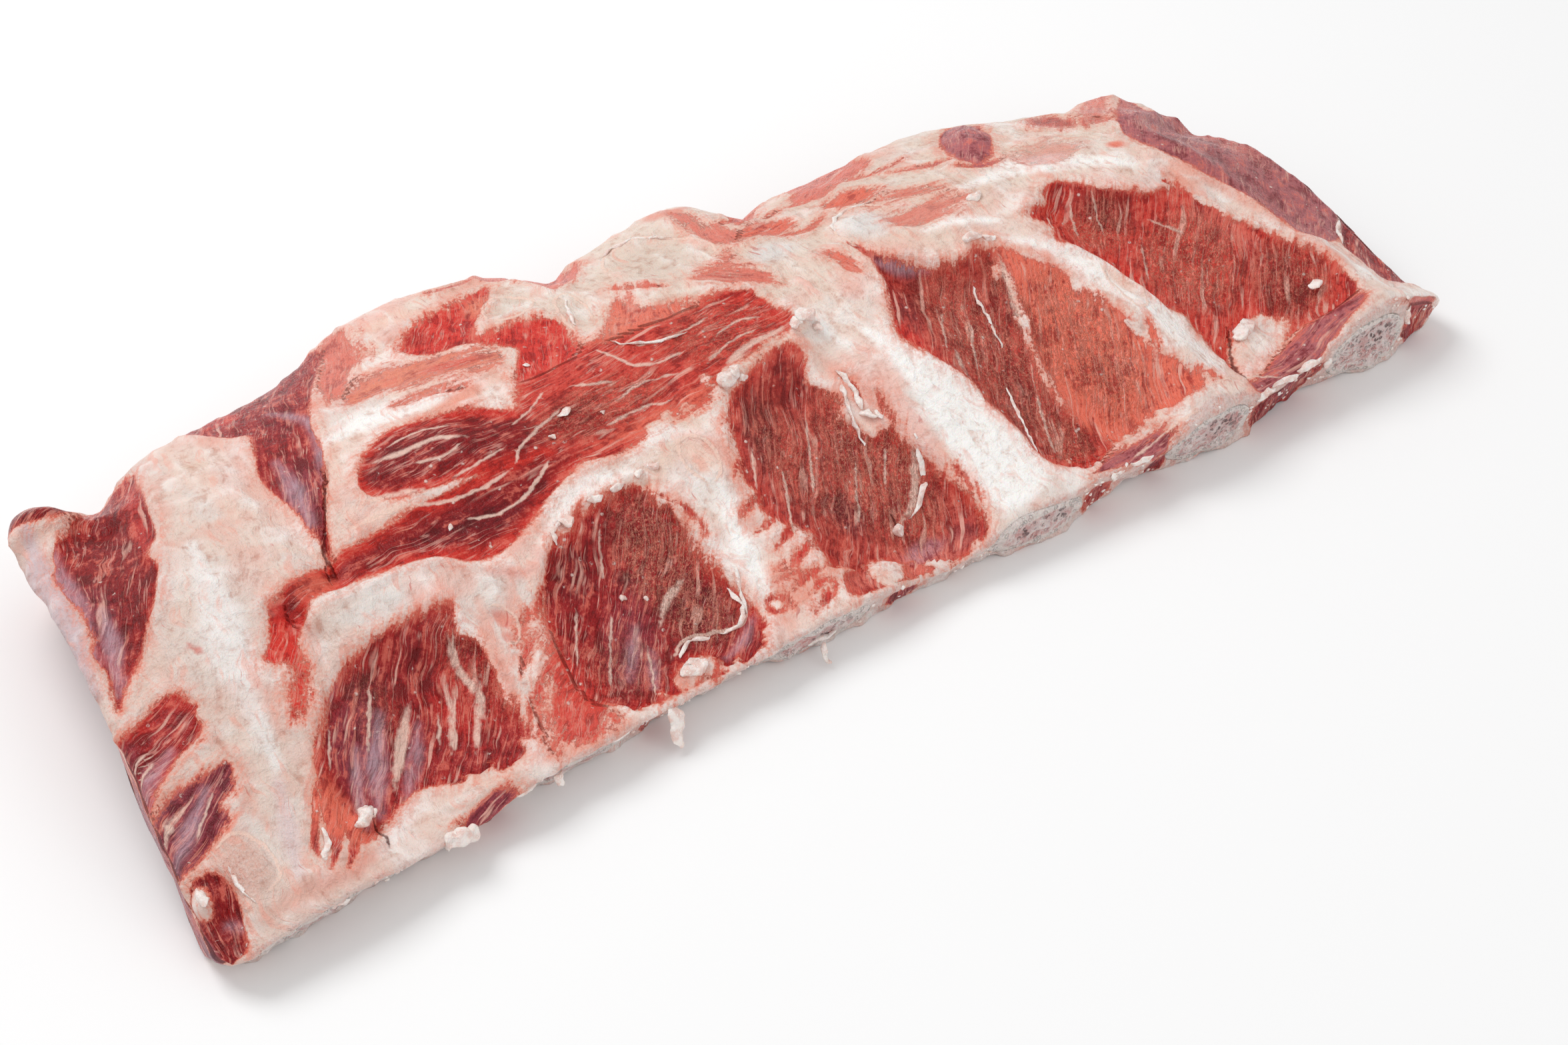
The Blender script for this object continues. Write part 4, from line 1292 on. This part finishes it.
def makeLeanGrain():
    # lean: bundles of fibres, pale strands between them, and dried, crinkled places that look tan
    sockets = [("Place", "Vector"), ("Fibre", "Vector"), ("Colour", "Color"), ("Tan", "Float"), ("Whole", "Float")]
    outputs = [("Colour", "Color"), ("Height", "Float"), ("Bundle", "Float"), ("Fine", "Float"), ("Grit", "Float")]
    tree, given, out = newGroup("leanGrain", sockets, outputs)
    place, tan = given["Place"], given["Tan"]

    def along(*shape):
        return addNode(tree, "ShaderNodeMix", {0: given["Whole"], 2: 0.5, 3: noise(tree, *shape)}, data_type="FLOAT").outputs[0]

    bent = shifted(tree, given["Fibre"], 0.0, centred(tree, noise(tree, place, 0.055, 2), 6.5))
    bundle = along(stretched(tree, bent, (0.06, 0.42, 1)), 1, 3, 0.6)
    fine = along(stretched(tree, bent, (0.16, 1.15, 1)), 1, 3, 0.65)
    gritty = noise(tree, place, 0.95, 3, 0.7)
    mottle = noise(tree, place, 0.30, 3, 0.6, 0.4)
    broad = noise(tree, place, 0.12, 3, 0.55)
    tone = summed(tree, (bundle, 0.32), (mottle, 0.24), (fine, 0.24), (gritty, 0.14), (broad, 0.20))
    colour = tinted(tree, ramp(tree, tone, 0.580, 0.505), given["Colour"], (0.54, 0.29, 0.33, 1), "MULTIPLY")
    pale = maths(tree, "MULTIPLY", ramp(tree, tone, 0.578, 0.650), 0.60)
    colour = tinted(tree, pale, colour, rgba(paint(228, 116, 98)))
    thread = along(stretched(tree, bent, (0.08, 0.95, 1)), 1, 2, 0.5, 0.4)
    thread = maths(tree, "MULTIPLY", ramp(tree, thread, 0.57, 0.62), ramp(tree, broad, 0.40, 0.54))
    colour = tinted(tree, maths(tree, "MULTIPLY", thread, 0.50), colour, rgba(paint(230, 140, 122)))
    patchy = noise(tree, place, 0.09, 2)
    strand = along(stretched(tree, bent, (0.05, 0.50, 1)), 1, 2, 0.5, 0.5)
    strand = maths(tree, "MULTIPLY", ramp(tree, strand, 0.57, 0.66), ramp(tree, patchy, 0.42, 0.56))
    colour = tinted(tree, maths(tree, "MULTIPLY", strand, 0.75), colour, rgba(paint(232, 176, 160)))
    vein = maths(tree, "ABSOLUTE", centred(tree, along(stretched(tree, bent, (0.03, 0.36, 1)), 1, 3, 0.55), 1.0))
    vein = maths(tree, "MULTIPLY", ramp(tree, vein, 0.016, 0.003), ramp(tree, patchy, 0.56, 0.44))
    colour = tinted(tree, maths(tree, "MULTIPLY", vein, 0.5), colour, rgba(paint(226, 164, 150)))
    crinkle = noise(tree, stretched(tree, bent, (0.42, 1.0, 1)), 1, 3, 0.6, 1.2)
    curl = ramp(tree, maths(tree, "ABSOLUTE", centred(tree, crinkle, 1.0)), 0.055, 0.012)
    dried = maths(tree, "MULTIPLY", maths(tree, "MAXIMUM", curl, ramp(tree, gritty, 0.52, 0.62)), tan)
    colour = tinted(tree, maths(tree, "MULTIPLY", dried, 0.60), colour, rgba(paint(228, 146, 124)))
    dots = addNode(tree, "ShaderNodeTexVoronoi", {"Vector": place, "Scale": 0.26})
    speck = maths(tree, "MULTIPLY", ramp(tree, dots.outputs["Distance"], 0.19, 0.09), ramp(tree, mottle, 0.50, 0.58))
    colour = tinted(tree, maths(tree, "MULTIPLY", speck, 0.8), colour, rgba(paint(238, 208, 198)))
    tree.links.new(colour, out["Colour"])
    height = summed(tree, (bundle, 1.0), (fine, 0.5), (gritty, 0.35), (mottle, 0.9), (thread, 0.12), (speck, 0.3))
    height = summed(tree, (height, 1.0), (maths(tree, "MULTIPLY", curl, tan), 0.45), (1.0, -0.5))
    tree.links.new(height, out["Height"])
    for name, value in (("Bundle", bundle), ("Fine", fine), ("Grit", gritty)):
        tree.links.new(value, out[name])
    return tree


def makeCrumble():
    # a sawn, crumbly surface: pale crumbs, dark pores and a rough height
    sockets = [("Place", "Vector"), ("Pores", "Float")]
    outputs = [("Pore", "Float"), ("Crumb", "Float"), ("Height", "Float")]
    tree, given, out = newGroup("sawnCrumble", sockets, outputs)
    rough = noise(tree, given["Place"], 1.1, 4, 0.65, 0.3)
    holes = noise(tree, given["Place"], 0.62, 2, 0.5, 0.8)
    cells = addNode(tree, "ShaderNodeTexVoronoi", {"Vector": given["Place"], "Scale": 0.55}).outputs["Distance"]
    pore = maths(tree, "MULTIPLY", ramp(tree, cells, 0.50, 0.26), ramp(tree, holes, 0.40, 0.5))
    pore = maths(tree, "MULTIPLY", pore, given["Pores"])
    tree.links.new(pore, out["Pore"])
    tree.links.new(ramp(tree, rough, 0.45, 0.62), out["Crumb"])
    height = maths(tree, "SUBTRACT", maths(tree, "MULTIPLY", rough, 0.9), maths(tree, "MULTIPLY", pore, 0.8))
    tree.links.new(height, out["Height"])
    return tree


fatGrain = makeFatGrain()
leanGrain = makeLeanGrain()
sawnCrumble = makeCrumble()


def newMaterial(name, **sockets):
    material = bpy.data.materials.new(name)
    material.use_nodes = True
    tree = material.node_tree
    shader = tree.nodes["Principled BSDF"]
    for socket, value in sockets.items():
        shader.inputs[socketNames[socket]].default_value = value
    return material, tree, shader


socketNames = {
    "roughness": "Roughness", "coat": "Coat Weight", "coatRoughness": "Coat Roughness", "specular": "Specular IOR Level",
    "under": "Subsurface Weight", "underScale": "Subsurface Scale", "underRadius": "Subsurface Radius", "ior": "IOR",
}
softFlesh = {"under": 0.12, "underScale": 0.0016, "underRadius": (1.0, 0.35, 0.22)}


def finishShader(tree, shader, colour, roughness, height, depth=1.0):
    # the height is in mm
    tree.links.new(colour, shader.inputs["Base Color"])
    if isinstance(roughness, bpy.types.NodeSocket):
        tree.links.new(roughness, shader.inputs["Roughness"])
    bump = addNode(tree, "ShaderNodeBump", {"Height": height, "Distance": millimetre * depth, "Strength": 1.0})
    tree.links.new(bump.outputs[0], shader.inputs["Normal"])


def strokeShare(tree, name, ragged):
    # 1 on the thin lines of that name
    wide = maths(tree, "ADD", carried(tree, name + "Wide"), ragged)
    gap = maths(tree, "ADD", carried(tree, name + "Gap"), centred(tree, noise(tree, inMillimetres(tree), 0.3, 2), 1.8))
    by = maths(tree, "SUBTRACT", wide, maths(tree, "ABSOLUTE", gap))
    return maths(tree, "MULTIPLY", ramp(tree, by, -0.4, 0.3), ramp(tree, carried(tree, name + "Wide"), -0.05, 0.12))


def meatSurface():
    material, tree, shader = newMaterial("meatSurface", specular=0.22, **softFlesh)
    place = inMillimetres(tree)
    fibre = carried(tree, "fibre", "Vector")
    given = {"Place": place, "Fibre": fibre, "Colour": carried(tree, "leanColour", "Vector"), "Tan": carried(tree, "tan"),
             "Whole": carried(tree, "whole")}
    meat = placeGroup(tree, leanGrain, given)
    given = {"Place": place, "Flow": carried(tree, "flow", "Vector"), "Colour": carried(tree, "fatColour", "Vector")}
    fat = placeGroup(tree, fatGrain, given)
    crumble = placeGroup(tree, sawnCrumble, {"Place": place, "Pores": 0.25})
    film = maths(tree, "MULTIPLY", carried(tree, "film"), summed(tree, (ramp(tree, meat["Fine"], 0.40, 0.60), 0.4), (1.0, 0.5)))
    leanColour = tinted(tree, maths(tree, "MULTIPLY", film, 0.66), meat["Colour"], rgba(paint(200, 172, 184)))
    crumbled = maths(tree, "MULTIPLY", crumble["Crumb"], carried(tree, "crumble"))
    fatColour = tinted(tree, maths(tree, "MULTIPLY", crumbled, 0.45), fat["Colour"], rgba(paint(240, 230, 224)))

    # where lean ends: crisp streaks along its fibres, short in some places and long in others
    comb = noise(tree, stretched(tree, fibre, (0.05, 0.30, 1)), 1, 2, 0.5)
    comb = maths(tree, "MULTIPLY", centred(tree, comb, 2.4), carried(tree, "whole"))
    mixed = summed(tree, (comb, 1.0), *[(centred(tree, meat[name], 1.0), share) for name, share in
                                        (("Bundle", 3.4), ("Fine", 2.4), ("Grit", 3.4))])
    fading = ramp(tree, noise(tree, place, 0.075, 1), 0.42, 0.60)
    soft = maths(tree, "MULTIPLY", carried(tree, "fringe"), summed(tree, (fading, 1.0), (1.0, 0.5)))
    leanBy = carried(tree, "leanBy")
    edge = maths(tree, "ADD", maths(tree, "DIVIDE", leanBy, soft), mixed)
    veil = carried(tree, "veil")
    streaky = ramp(tree, summed(tree, (meat["Bundle"], 0.6), (meat["Grit"], 0.4)), 0.47, 0.58)
    stain = summed(tree, (streaky, 0.55), (1.0, 0.15))
    stain = maths(tree, "MULTIPLY", maths(tree, "MULTIPLY", ramp(tree, leanBy, -7.0, -0.3), stain), veil)
    base = tinted(tree, stain, fatColour, rgba(paint(226, 140, 120)))
    for start, end, share, tint in ((-1.8, -0.2, 0.6, paint(230, 148, 126)), (-0.7, 0.4, 0.9, paint(216, 96, 76))):
        share = maths(tree, "MULTIPLY", maths(tree, "MULTIPLY", ramp(tree, edge, start, end), share), veil)
        base = tinted(tree, share, base, rgba(tint))
    base = tinted(tree, maths(tree, "MULTIPLY", ramp(tree, edge, 0.0, 1.0), veil), base, leanColour)
    lean = ramp(tree, edge, -0.2, 0.2)

    uneven = summed(tree, (centred(tree, meat["Bundle"], 1.0), 1.6), (centred(tree, noise(tree, place, 0.45, 4), 1.0), 1.8))
    seam = maths(tree, "MULTIPLY", ramp(tree, maths(tree, "ADD", carried(tree, "seamBy"), uneven), -0.5, 0.7), 0.8)
    hair = strokeShare(tree, "hair", maths(tree, "MULTIPLY", uneven, 0.5))
    seam = maths(tree, "MAXIMUM", seam, maths(tree, "MULTIPLY", hair, 0.75))
    base = tinted(tree, seam, base, rgba(paint(240, 206, 190)))
    split = strokeShare(tree, "split", centred(tree, noise(tree, place, 0.7, 3), 0.8))
    base = tinted(tree, maths(tree, "MULTIPLY", split, 0.85), base, rgba(paint(96, 18, 16)))

    roughness = summed(tree, (lean, -0.08), (crumble["Crumb"], 0.14), (1.0, 0.34))
    fatRise = maths(tree, "ADD", fat["Height"], maths(tree, "MULTIPLY", crumble["Height"], carried(tree, "crumble")))
    height = addNode(tree, "ShaderNodeMix", {0: lean, 2: fatRise, 3: meat["Height"]}, data_type="FLOAT").outputs[0]
    height = summed(tree, (height, 1.0), (seam, 0.2), (split, -0.7))
    finishShader(tree, shader, base, roughness, height)
    return material


def boneSurface():
    material, tree, shader = newMaterial("boneSurface", coat=0.06, coatRoughness=0.3, **softFlesh)
    place = inMillimetres(tree)
    inset = maths(tree, "ADD", carried(tree, "inset"), maths(tree, "MULTIPLY", noise(tree, place, 0.5, 2), 0.9))
    core = ramp(tree, inset, 1.6, 2.7)
    crumble = placeGroup(tree, sawnCrumble, {"Place": place, "Pores": 1.0})
    spongy = tinted(tree, ramp(tree, noise(tree, place, 0.28, 3), 0.38, 0.58), rgba(paint(210, 158, 154)), rgba(paint(230, 212, 208)))
    bloody = maths(tree, "MULTIPLY", ramp(tree, noise(tree, place, 0.7, 3), 0.55, 0.66), 0.6)
    spongy = tinted(tree, bloody, spongy, rgba(paint(196, 112, 108)))
    rim = tinted(tree, ramp(tree, noise(tree, place, 0.5, 3), 0.4, 0.6), rgba(paint(222, 208, 202)), rgba(paint(232, 216, 210)))
    colour = tinted(tree, core, rim, spongy)
    colour = tinted(tree, maths(tree, "MULTIPLY", crumble["Crumb"], 0.5), colour, rgba(paint(236, 228, 222)))
    hollow = maths(tree, "MULTIPLY", carried(tree, "pores"), core)
    pore = maths(tree, "MULTIPLY", maths(tree, "MULTIPLY", crumble["Pore"], hollow), 0.9)
    colour = tinted(tree, maths(tree, "MULTIPLY", hollow, 0.35), colour, rgba(paint(186, 152, 150)))
    colour = tinted(tree, pore, colour, rgba(paint(96, 66, 66)))
    finishShader(tree, shader, colour, 0.5, crumble["Height"])
    shader.inputs["Roughness"].default_value = 0.5
    return material


scrapLooks = {
    "sides": 16, "rings": 12, "rough": 0.42, "grainSize": 1.5,
    "knobs": [  # x, y, height over the surface, three half sizes and turn
        (-3.6, -2.4, 1.0, 3.0, 2.4, 2.0, 0), (-0.4, -1.6, 1.2, 2.4, 1.8, 1.7, 40), (2.0, -2.9, 0.5, 1.9, 1.0, 0.9, -10),
        (25.6, 4.2, 0.5, 2.8, 1.8, 1.4, 25), (29.6, 5.2, 0.7, 2.9, 2.3, 1.7, -20), (31.6, 2.2, 0.4, 1.5, 2.8, 1.1, 10),
        (30.4, -24.5, 0.2, 1.3, 3.4, 0.8, 20), (33.0, -27.0, 0.2, 1.0, 2.4, 0.7, -15),
        (-161.0, -69.0, 0.6, 3.2, 2.2, 1.8, 30), (-163.2, -71.0, 0.3, 1.6, 1.4, 1.1, 0), (-158.6, -67.6, 0.3, 1.5, 1.2, 1.0, 20),
        (19.4, -55.4, 0.5, 1.7, 1.7, 1.3, 0), (180.4, -51.6, 0.3, 2.4, 2.0, 0.9, 20), (-49.6, 11.2, 0.2, 2.4, 1.3, 0.8, 20),
        (-97.6, -7.2, 0.1, 0.9, 0.9, 0.6, 0), (-57.6, 5.4, 0.1, 1.0, 1.1, 0.6, 0), (-64.6, -41.0, 0.2, 1.2, 0.9, 0.7, 0),
        (-58.4, -43.2, 0.2, 1.0, 0.9, 0.6, 30), (-48.6, 33.0, 0.1, 1.0, 0.8, 0.5, 0), (-39.4, 6.6, 0.1, 0.9, 0.8, 0.5, 0),
        (-208.2, -69.6, 0.2, 1.7, 3.0, 1.0, 0), (91.0, 5.4, 0.4, 3.2, 1.5, 1.3, -10), (96.6, 4.0, 0.2, 2.4, 1.1, 0.9, -30),
        (104.0, 21.0, 0.2, 3.0, 1.4, 1.0, 10), (153.4, -50.6, 0.0, 6.0, 2.6, 1.1, 30), (-61.0, -70.6, 0.0, 4.6, 2.8, 1.3, 10),
        (-37.6, -15.2, 0.2, 2.2, 1.3, 1.0, -40), (-42.6, -16.2, 0.2, 2.0, 1.1, 0.9, 10), (-50.0, -16.8, 0.2, 2.6, 1.1, 0.9, 0),
        (-58.0, -17.6, 0.2, 2.4, 1.2, 0.9, -6), (-69.0, -20.8, 0.3, 1.6, 2.2, 1.0, 20),
    ],
    "threads": [  # half width and the points that they follow on the surface
        (0.55, [(86, -2), (84.4, -9), (82.6, -17), (81, -25)]), (0.5, [(73.5, -35), (71.6, -43), (69, -52), (67, -58)]),
        (0.7, [(29, -12), (27.6, -18), (26.0, -24), (25.0, -31)]), (0.8, [(30, -10), (31, -17), (30, -23)]),
        (0.8, [(206, -37), (209, -31), (216, -25)]), (0.7, [(-177, -78), (-174.6, -74), (-173, -69)]),
        (0.6, [(-198, -80), (-199.6, -74), (-199, -68)]), (0.7, [(-75, -24), (-73.6, -21), (-70, -19.6)]),
        (0.7, [(-60, -62.6), (-55, -59), (-49, -60.6)]), (0.8, [(-46, -61.4), (-40, -62.4), (-36.6, -57.6), (-37.6, -52)]),
        (0.7, [(-33, -47), (-34.4, -54), (-37, -61)]), (0.8, [(37.4, -38), (35.6, -45), (31, -50.6), (25, -53.4)]),
        (0.5, [(-25, 26), (-20, 21), (-12, 18), (-4, 17)]), (0.6, [(60, 31), (63, 38), (70, 42), (79, 40.6)]),
        (0.6, [(-28, 40), (-24, 50), (-21, 57)]), (0.6, [(2, 74), (9, 75.6), (16, 72), (22, 64)]),
    ],
    "shreds": [  # half widths at the root and the tip, and the points that they follow in space
        (3.2, 1.1, [(-72.6, -77.6, 11.6), (-72.8, -80, 8.4), (-74.4, -82.4, 5), (-74.8, -84.4, 2.4)]),
        (1.5, 0.9, [(-109, -79.4, 9.8), (-109.6, -80.6, 7.6), (-109.2, -81.4, 5.8)]),
        (0.8, 0.6, [(-22, -76.4, 6), (-22.6, -78.6, 3.4), (-22.2, -81, 1.6)]),
    ],
    "crusts": [  # lumps of fat along the sawn face: x, how far out, height, three half sizes and turn
        (-143, 0.6, 10.5, 4.2, 1.9, 2.6, 0), (-138.6, 0.9, 9.4, 2.6, 1.6, 2.2, 20), (-140.6, 1.2, 6.6, 2.0, 1.2, 1.8, 0),
        (-120, -0.1, 9.2, 4.6, 0.9, 1.2, -6), (-178, 0.0, 9.0, 3.6, 0.8, 0.9, 0), (-90, 0.0, 9.4, 5.0, 0.8, 0.9, 4),
        (-62, 0.0, 9.0, 4.4, 0.8, 0.9, 0), (-20, 0.0, 4.6, 5.0, 0.8, 0.8, 0), (86, -0.3, 14.0, 4.6, 0.8, 1.0, 12),
        (93, -0.3, 15.4, 4.0, 0.8, 0.9, -8), (142, -0.3, 15.6, 4.6, 0.8, 0.9, 6), (150, -0.2, 17.0, 4.8, 0.8, 1.0, -6),
        (160, -0.3, 17.8, 5.0, 0.8, 0.9, 5), (171, 0.0, 13.0, 1.4, 0.8, 3.6, 0), (204.6, 0.0, 14.6, 1.2, 0.9, 3.6, 0),
    ],
}


def topHeight(x, y):
    # the height of the dressed top at a place
    tops = place[grid["side"] == topSide]
    return float(tops[np.argmin(np.hypot(tops[:, 0] - x, tops[:, 1] - y)), 2])


def lump(middle, halves, turn):
    # a lump with three half sizes, as loops from its foot to its top
    c, s = math.cos(math.radians(turn)), math.sin(math.radians(turn))
    round = 2 * np.pi * np.arange(scrapLooks["sides"]) / scrapLooks["sides"]
    loops = []
    for k in range(1, scrapLooks["rings"]):
        a = math.pi * k / scrapLooks["rings"]
        u, v = halves[0] * math.sin(a) * np.cos(round), halves[1] * math.sin(a) * np.sin(round)
        loops.append(np.stack([u * c - v * s, u * s + v * c, 0 * u - halves[2] * math.cos(a)], 1) + middle)
    return loops


def ribbon(line, halfWidths, thick, up):
    # a flat strip along a line, thinner at both its ends, as loops
    line = rounded(line, False)
    round = 2 * np.pi * np.arange(scrapLooks["sides"]) / scrapLooks["sides"]
    loops = []
    for k, middle in enumerate(line):
        ahead = line[min(k + 1, len(line) - 1)] - line[max(k - 1, 0)]
        ahead = ahead / np.linalg.norm(ahead)
        side = np.cross(ahead, up)
        side = side / np.linalg.norm(side)
        over = np.cross(ahead, side)
        share = k / (len(line) - 1)
        ends = 0.3 + 0.7 * float(smooth(0, 0.22, min(share, 1 - share)))
        wide = float(mix(halfWidths[0], halfWidths[1], share)) * ends
        loops.append(middle + wide * np.cos(round)[:, None] * side + thick * ends * np.sin(round)[:, None] * over)
    return loops


def makeScraps():
    # scraps of fat on the surface and shreds of skin along the sawn edge, as one mesh of closed pieces
    pieces = []
    for x, y, over, *halves, turn in scrapLooks["knobs"]:
        pieces.append(lump(np.array([x, y, topHeight(x, y) + over]), halves, turn))
    for wide, line in scrapLooks["threads"]:
        line = [(x, y, topHeight(x, y) + 0.15) for x, y in line]
        pieces.append(ribbon(line, (wide, 0.8 * wide), 0.45 * wide + 0.15, (0, 0, 1)))
    for root, tip, line in scrapLooks["shreds"]:
        pieces.append(ribbon(line, (root, tip), 0.5, (0, -1, 0.4)))
    for x, out, height, *halves, turn in scrapLooks["crusts"]:
        edge = float(sawnY(x))
        y = edge + float(lineAt(rack["sawnLean"], x)) * max(1 - height / float(topside(x, edge)), 0) - out
        pieces.append(lump(np.array([x, y, height]), halves, turn))
    places, faces, count = [], [], 0
    for loops in pieces:
        first, last = loops[0], loops[-1]
        for face in loftFaces((len(loops), scrapLooks["sides"]), first[:, 0], last[:, 0]):
            faces.append(tuple(i + count for i in face))
        places += loops
        count += len(loops) * scrapLooks["sides"]
    place = np.concatenate(places)
    for axis in range(3):
        place[:, axis] += scrapLooks["rough"] * 2 * grain(place, scrapLooks["grainSize"], 91 + axis)
    place[:, 2] = np.maximum(place[:, 2], 0.05)
    made = makeObject("fatScraps", toFrame(place), faces)
    made.data.shade_smooth()
    return made


crumbLooks = {"density": 90000, "small": 0.00028, "large": 0.00085, "above": 0.0016, "seed": 5, "rough": 0.0003}


def makeCrumbs():
    # crumbs of bone and fat that cling to the sawn face, scattered on it and turned to a plain mesh
    tree = bpy.data.node_groups.new("sawnCrumbs", "GeometryNodeTree")
    for name, kind, side in (("Geometry", "Geometry", "INPUT"), ("Density", "Float", "INPUT"), ("Small", "Float", "INPUT"),
                             ("Large", "Float", "INPUT"), ("Seed", "Int", "INPUT"), ("Geometry", "Geometry", "OUTPUT")):
        tree.interface.new_socket(name, in_out=side, socket_type=f"NodeSocket{kind}")
    given, out = tree.nodes.new("NodeGroupInput").outputs, tree.nodes.new("NodeGroupOutput").inputs
    crumble = addNode(tree, "GeometryNodeInputNamedAttribute", {"Name": "crumble"}, data_type="FLOAT").outputs["Attribute"]
    height = addNode(tree, "ShaderNodeSeparateXYZ", {0: addNode(tree, "GeometryNodeInputPosition").outputs[0]}).outputs["Z"]
    factor = maths(tree, "MULTIPLY", ramp(tree, crumble, 0.75, 0.95), maths(tree, "GREATER_THAN", height, crumbLooks["above"]))
    patchy = noise(tree, addNode(tree, "GeometryNodeInputPosition").outputs[0], 160, 2)
    factor = maths(tree, "MULTIPLY", factor, ramp(tree, patchy, 0.42, 0.6))
    density = maths(tree, "MULTIPLY", factor, given["Density"])
    points = addNode(tree, "GeometryNodeDistributePointsOnFaces", {"Mesh": given["Geometry"], "Density": density,
                                                                  "Seed": given["Seed"]}, distribute_method="RANDOM")
    size = addNode(tree, "FunctionNodeRandomValue", {2: given["Small"], 3: given["Large"]}, data_type="FLOAT").outputs[1]
    flat = addNode(tree, "ShaderNodeCombineXYZ", {0: size, 1: maths(tree, "MULTIPLY", size, 0.8), 2: maths(tree, "MULTIPLY", size, 0.6)})
    ball = addNode(tree, "GeometryNodeMeshIcoSphere", {"Radius": 1.0, "Subdivisions": 2}).outputs["Mesh"]
    spread = addNode(tree, "GeometryNodeInstanceOnPoints", {"Points": points.outputs["Points"], "Instance": ball,
                                                          "Rotation": points.outputs["Rotation"], "Scale": flat.outputs[0]})
    real = addNode(tree, "GeometryNodeRealizeInstances", {"Geometry": spread.outputs[0]}).outputs[0]
    dressed = addNode(tree, "GeometryNodeSetMaterial", {"Geometry": real, "Material": scrapMaterial}).outputs[0]
    tree.links.new(dressed, out["Geometry"])
    crumbs = bpy.data.objects.new("sawnCrumbs", meat.data)
    bpy.context.scene.collection.objects.link(crumbs)
    modifier = crumbs.modifiers.new("crumbs", "NODES")
    modifier.node_group = tree
    named = {item.name: item.identifier for item in tree.interface.items_tree if item.in_out == "INPUT"}
    modifier[named["Density"]] = float(crumbLooks["density"])
    modifier[named["Small"]], modifier[named["Large"]] = crumbLooks["small"], crumbLooks["large"]
    modifier[named["Seed"]] = crumbLooks["seed"]
    result = bpy.data.meshes.new_from_object(crumbs.evaluated_get(bpy.context.evaluated_depsgraph_get()))
    crumbs.modifiers.remove(modifier)
    crumbs.data = result
    result.name = "sawnCrumbs"
    crumbPlace = toPlan(readPlaces(result))
    for axis in range(3):
        crumbPlace[:, axis] += 0.25 * grain(crumbPlace, 0.7, 95 + axis)
    crumbPlace[:, 2] = np.maximum(crumbPlace[:, 2], 0.05)
    writePlaces(result, toFrame(crumbPlace))
    result.shade_smooth()
    return crumbs


def scrapSurface():
    material, tree, shader = newMaterial("scrapSurface", specular=0.45, **softFlesh)
    place = inMillimetres(tree)
    blotch = noise(tree, place, 0.35, 3, 0.6)
    colour = tinted(tree, ramp(tree, blotch, 0.42, 0.60), rgba(paint(246, 234, 228)), rgba(paint(232, 200, 190)))
    rough = noise(tree, place, 1.4, 3)
    colour = tinted(tree, ramp(tree, rough, 0.55, 0.70), colour, rgba(paint(250, 242, 236)))
    finishShader(tree, shader, colour, 0.4, maths(tree, "MULTIPLY", rough, 0.4))
    shader.inputs["Roughness"].default_value = 0.4
    return material


scrapMaterial = scrapSurface()
scraps = makeScraps()
crumbs = makeCrumbs()
print("small pieces made:", len(scraps.data.polygons), len(crumbs.data.polygons), "faces")

meat.data.materials.clear()
meat.data.materials.append(meatSurface())
boneMaterial = boneSurface()
for bone in bones:
    bone.data.materials.clear()
    bone.data.materials.append(boneMaterial)
for piece in (scraps, crumbs):
    piece.data.materials.clear()
    piece.data.materials.append(scrapMaterial)
print("surfaces made")

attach(meat, "root")
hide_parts("rib_meat")
for i, bone in enumerate(bones):
    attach(bone, "root")
    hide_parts(f"rib_bone_{i + 1}")
for piece in (scraps, crumbs):
    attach(piece, "root")

studio = {
    "target": (-0.0164, -0.0477, 0.020), "turn": -35, "height": 42, "distance": 0.86, "lens": 70, "floor": 4.0,
    "sky": 0.64, "key": ((-0.35, 0.75, 1.15), 0.8, 10.0), "fill": ((0.2, -1.3, 0.8), 1.2, 4.0),
}


def lookingAt(made, target):
    made.rotation_euler = (Vector(target) - made.location).to_track_quat("-Z", "Y").to_euler()


def makeStudio():
    scene = bpy.context.scene
    turn, height = math.radians(studio["turn"]), math.radians(studio["height"])
    away = Vector((math.sin(turn) * math.cos(height), -math.cos(turn) * math.cos(height), math.sin(height)))
    camera = bpy.data.objects.new("camera", bpy.data.cameras.new("camera"))
    camera.data.lens, camera.data.sensor_width = studio["lens"], 36
    camera.data.clip_start, camera.data.clip_end = 0.01, 20
    camera.location = Vector(studio["target"]) + away * studio["distance"]
    lookingAt(camera, studio["target"])
    scene.collection.objects.link(camera)
    scene.camera = camera

    half = studio["floor"] / 2
    corners = np.array([(-half, -half, 0), (half, -half, 0), (half, half, 0), (-half, half, 0)])
    floor = makeObject("floor", corners, [(0, 1, 2, 3)])
    material, _, shader = newMaterial("paleFloor", roughness=0.9, specular=0.1)
    shader.inputs["Base Color"].default_value = (0.93, 0.93, 0.93, 1)
    floor.data.materials.append(material)

    scene.world = bpy.data.worlds.new("studio")
    scene.world.use_nodes = True
    background = scene.world.node_tree.nodes["Background"]
    background.inputs["Color"].default_value = (1, 1, 1, 1)
    background.inputs["Strength"].default_value = studio["sky"]
    for name in ("key", "fill"):
        location, size, power = studio[name]
        lamp = bpy.data.objects.new(name, bpy.data.lights.new(name, "AREA"))
        lamp.data.size, lamp.data.energy = size, power
        lamp.location = location
        lookingAt(lamp, (0, 0, 0))
        scene.collection.objects.link(lamp)
    scene.view_settings.view_transform = "Standard"


makeStudio()
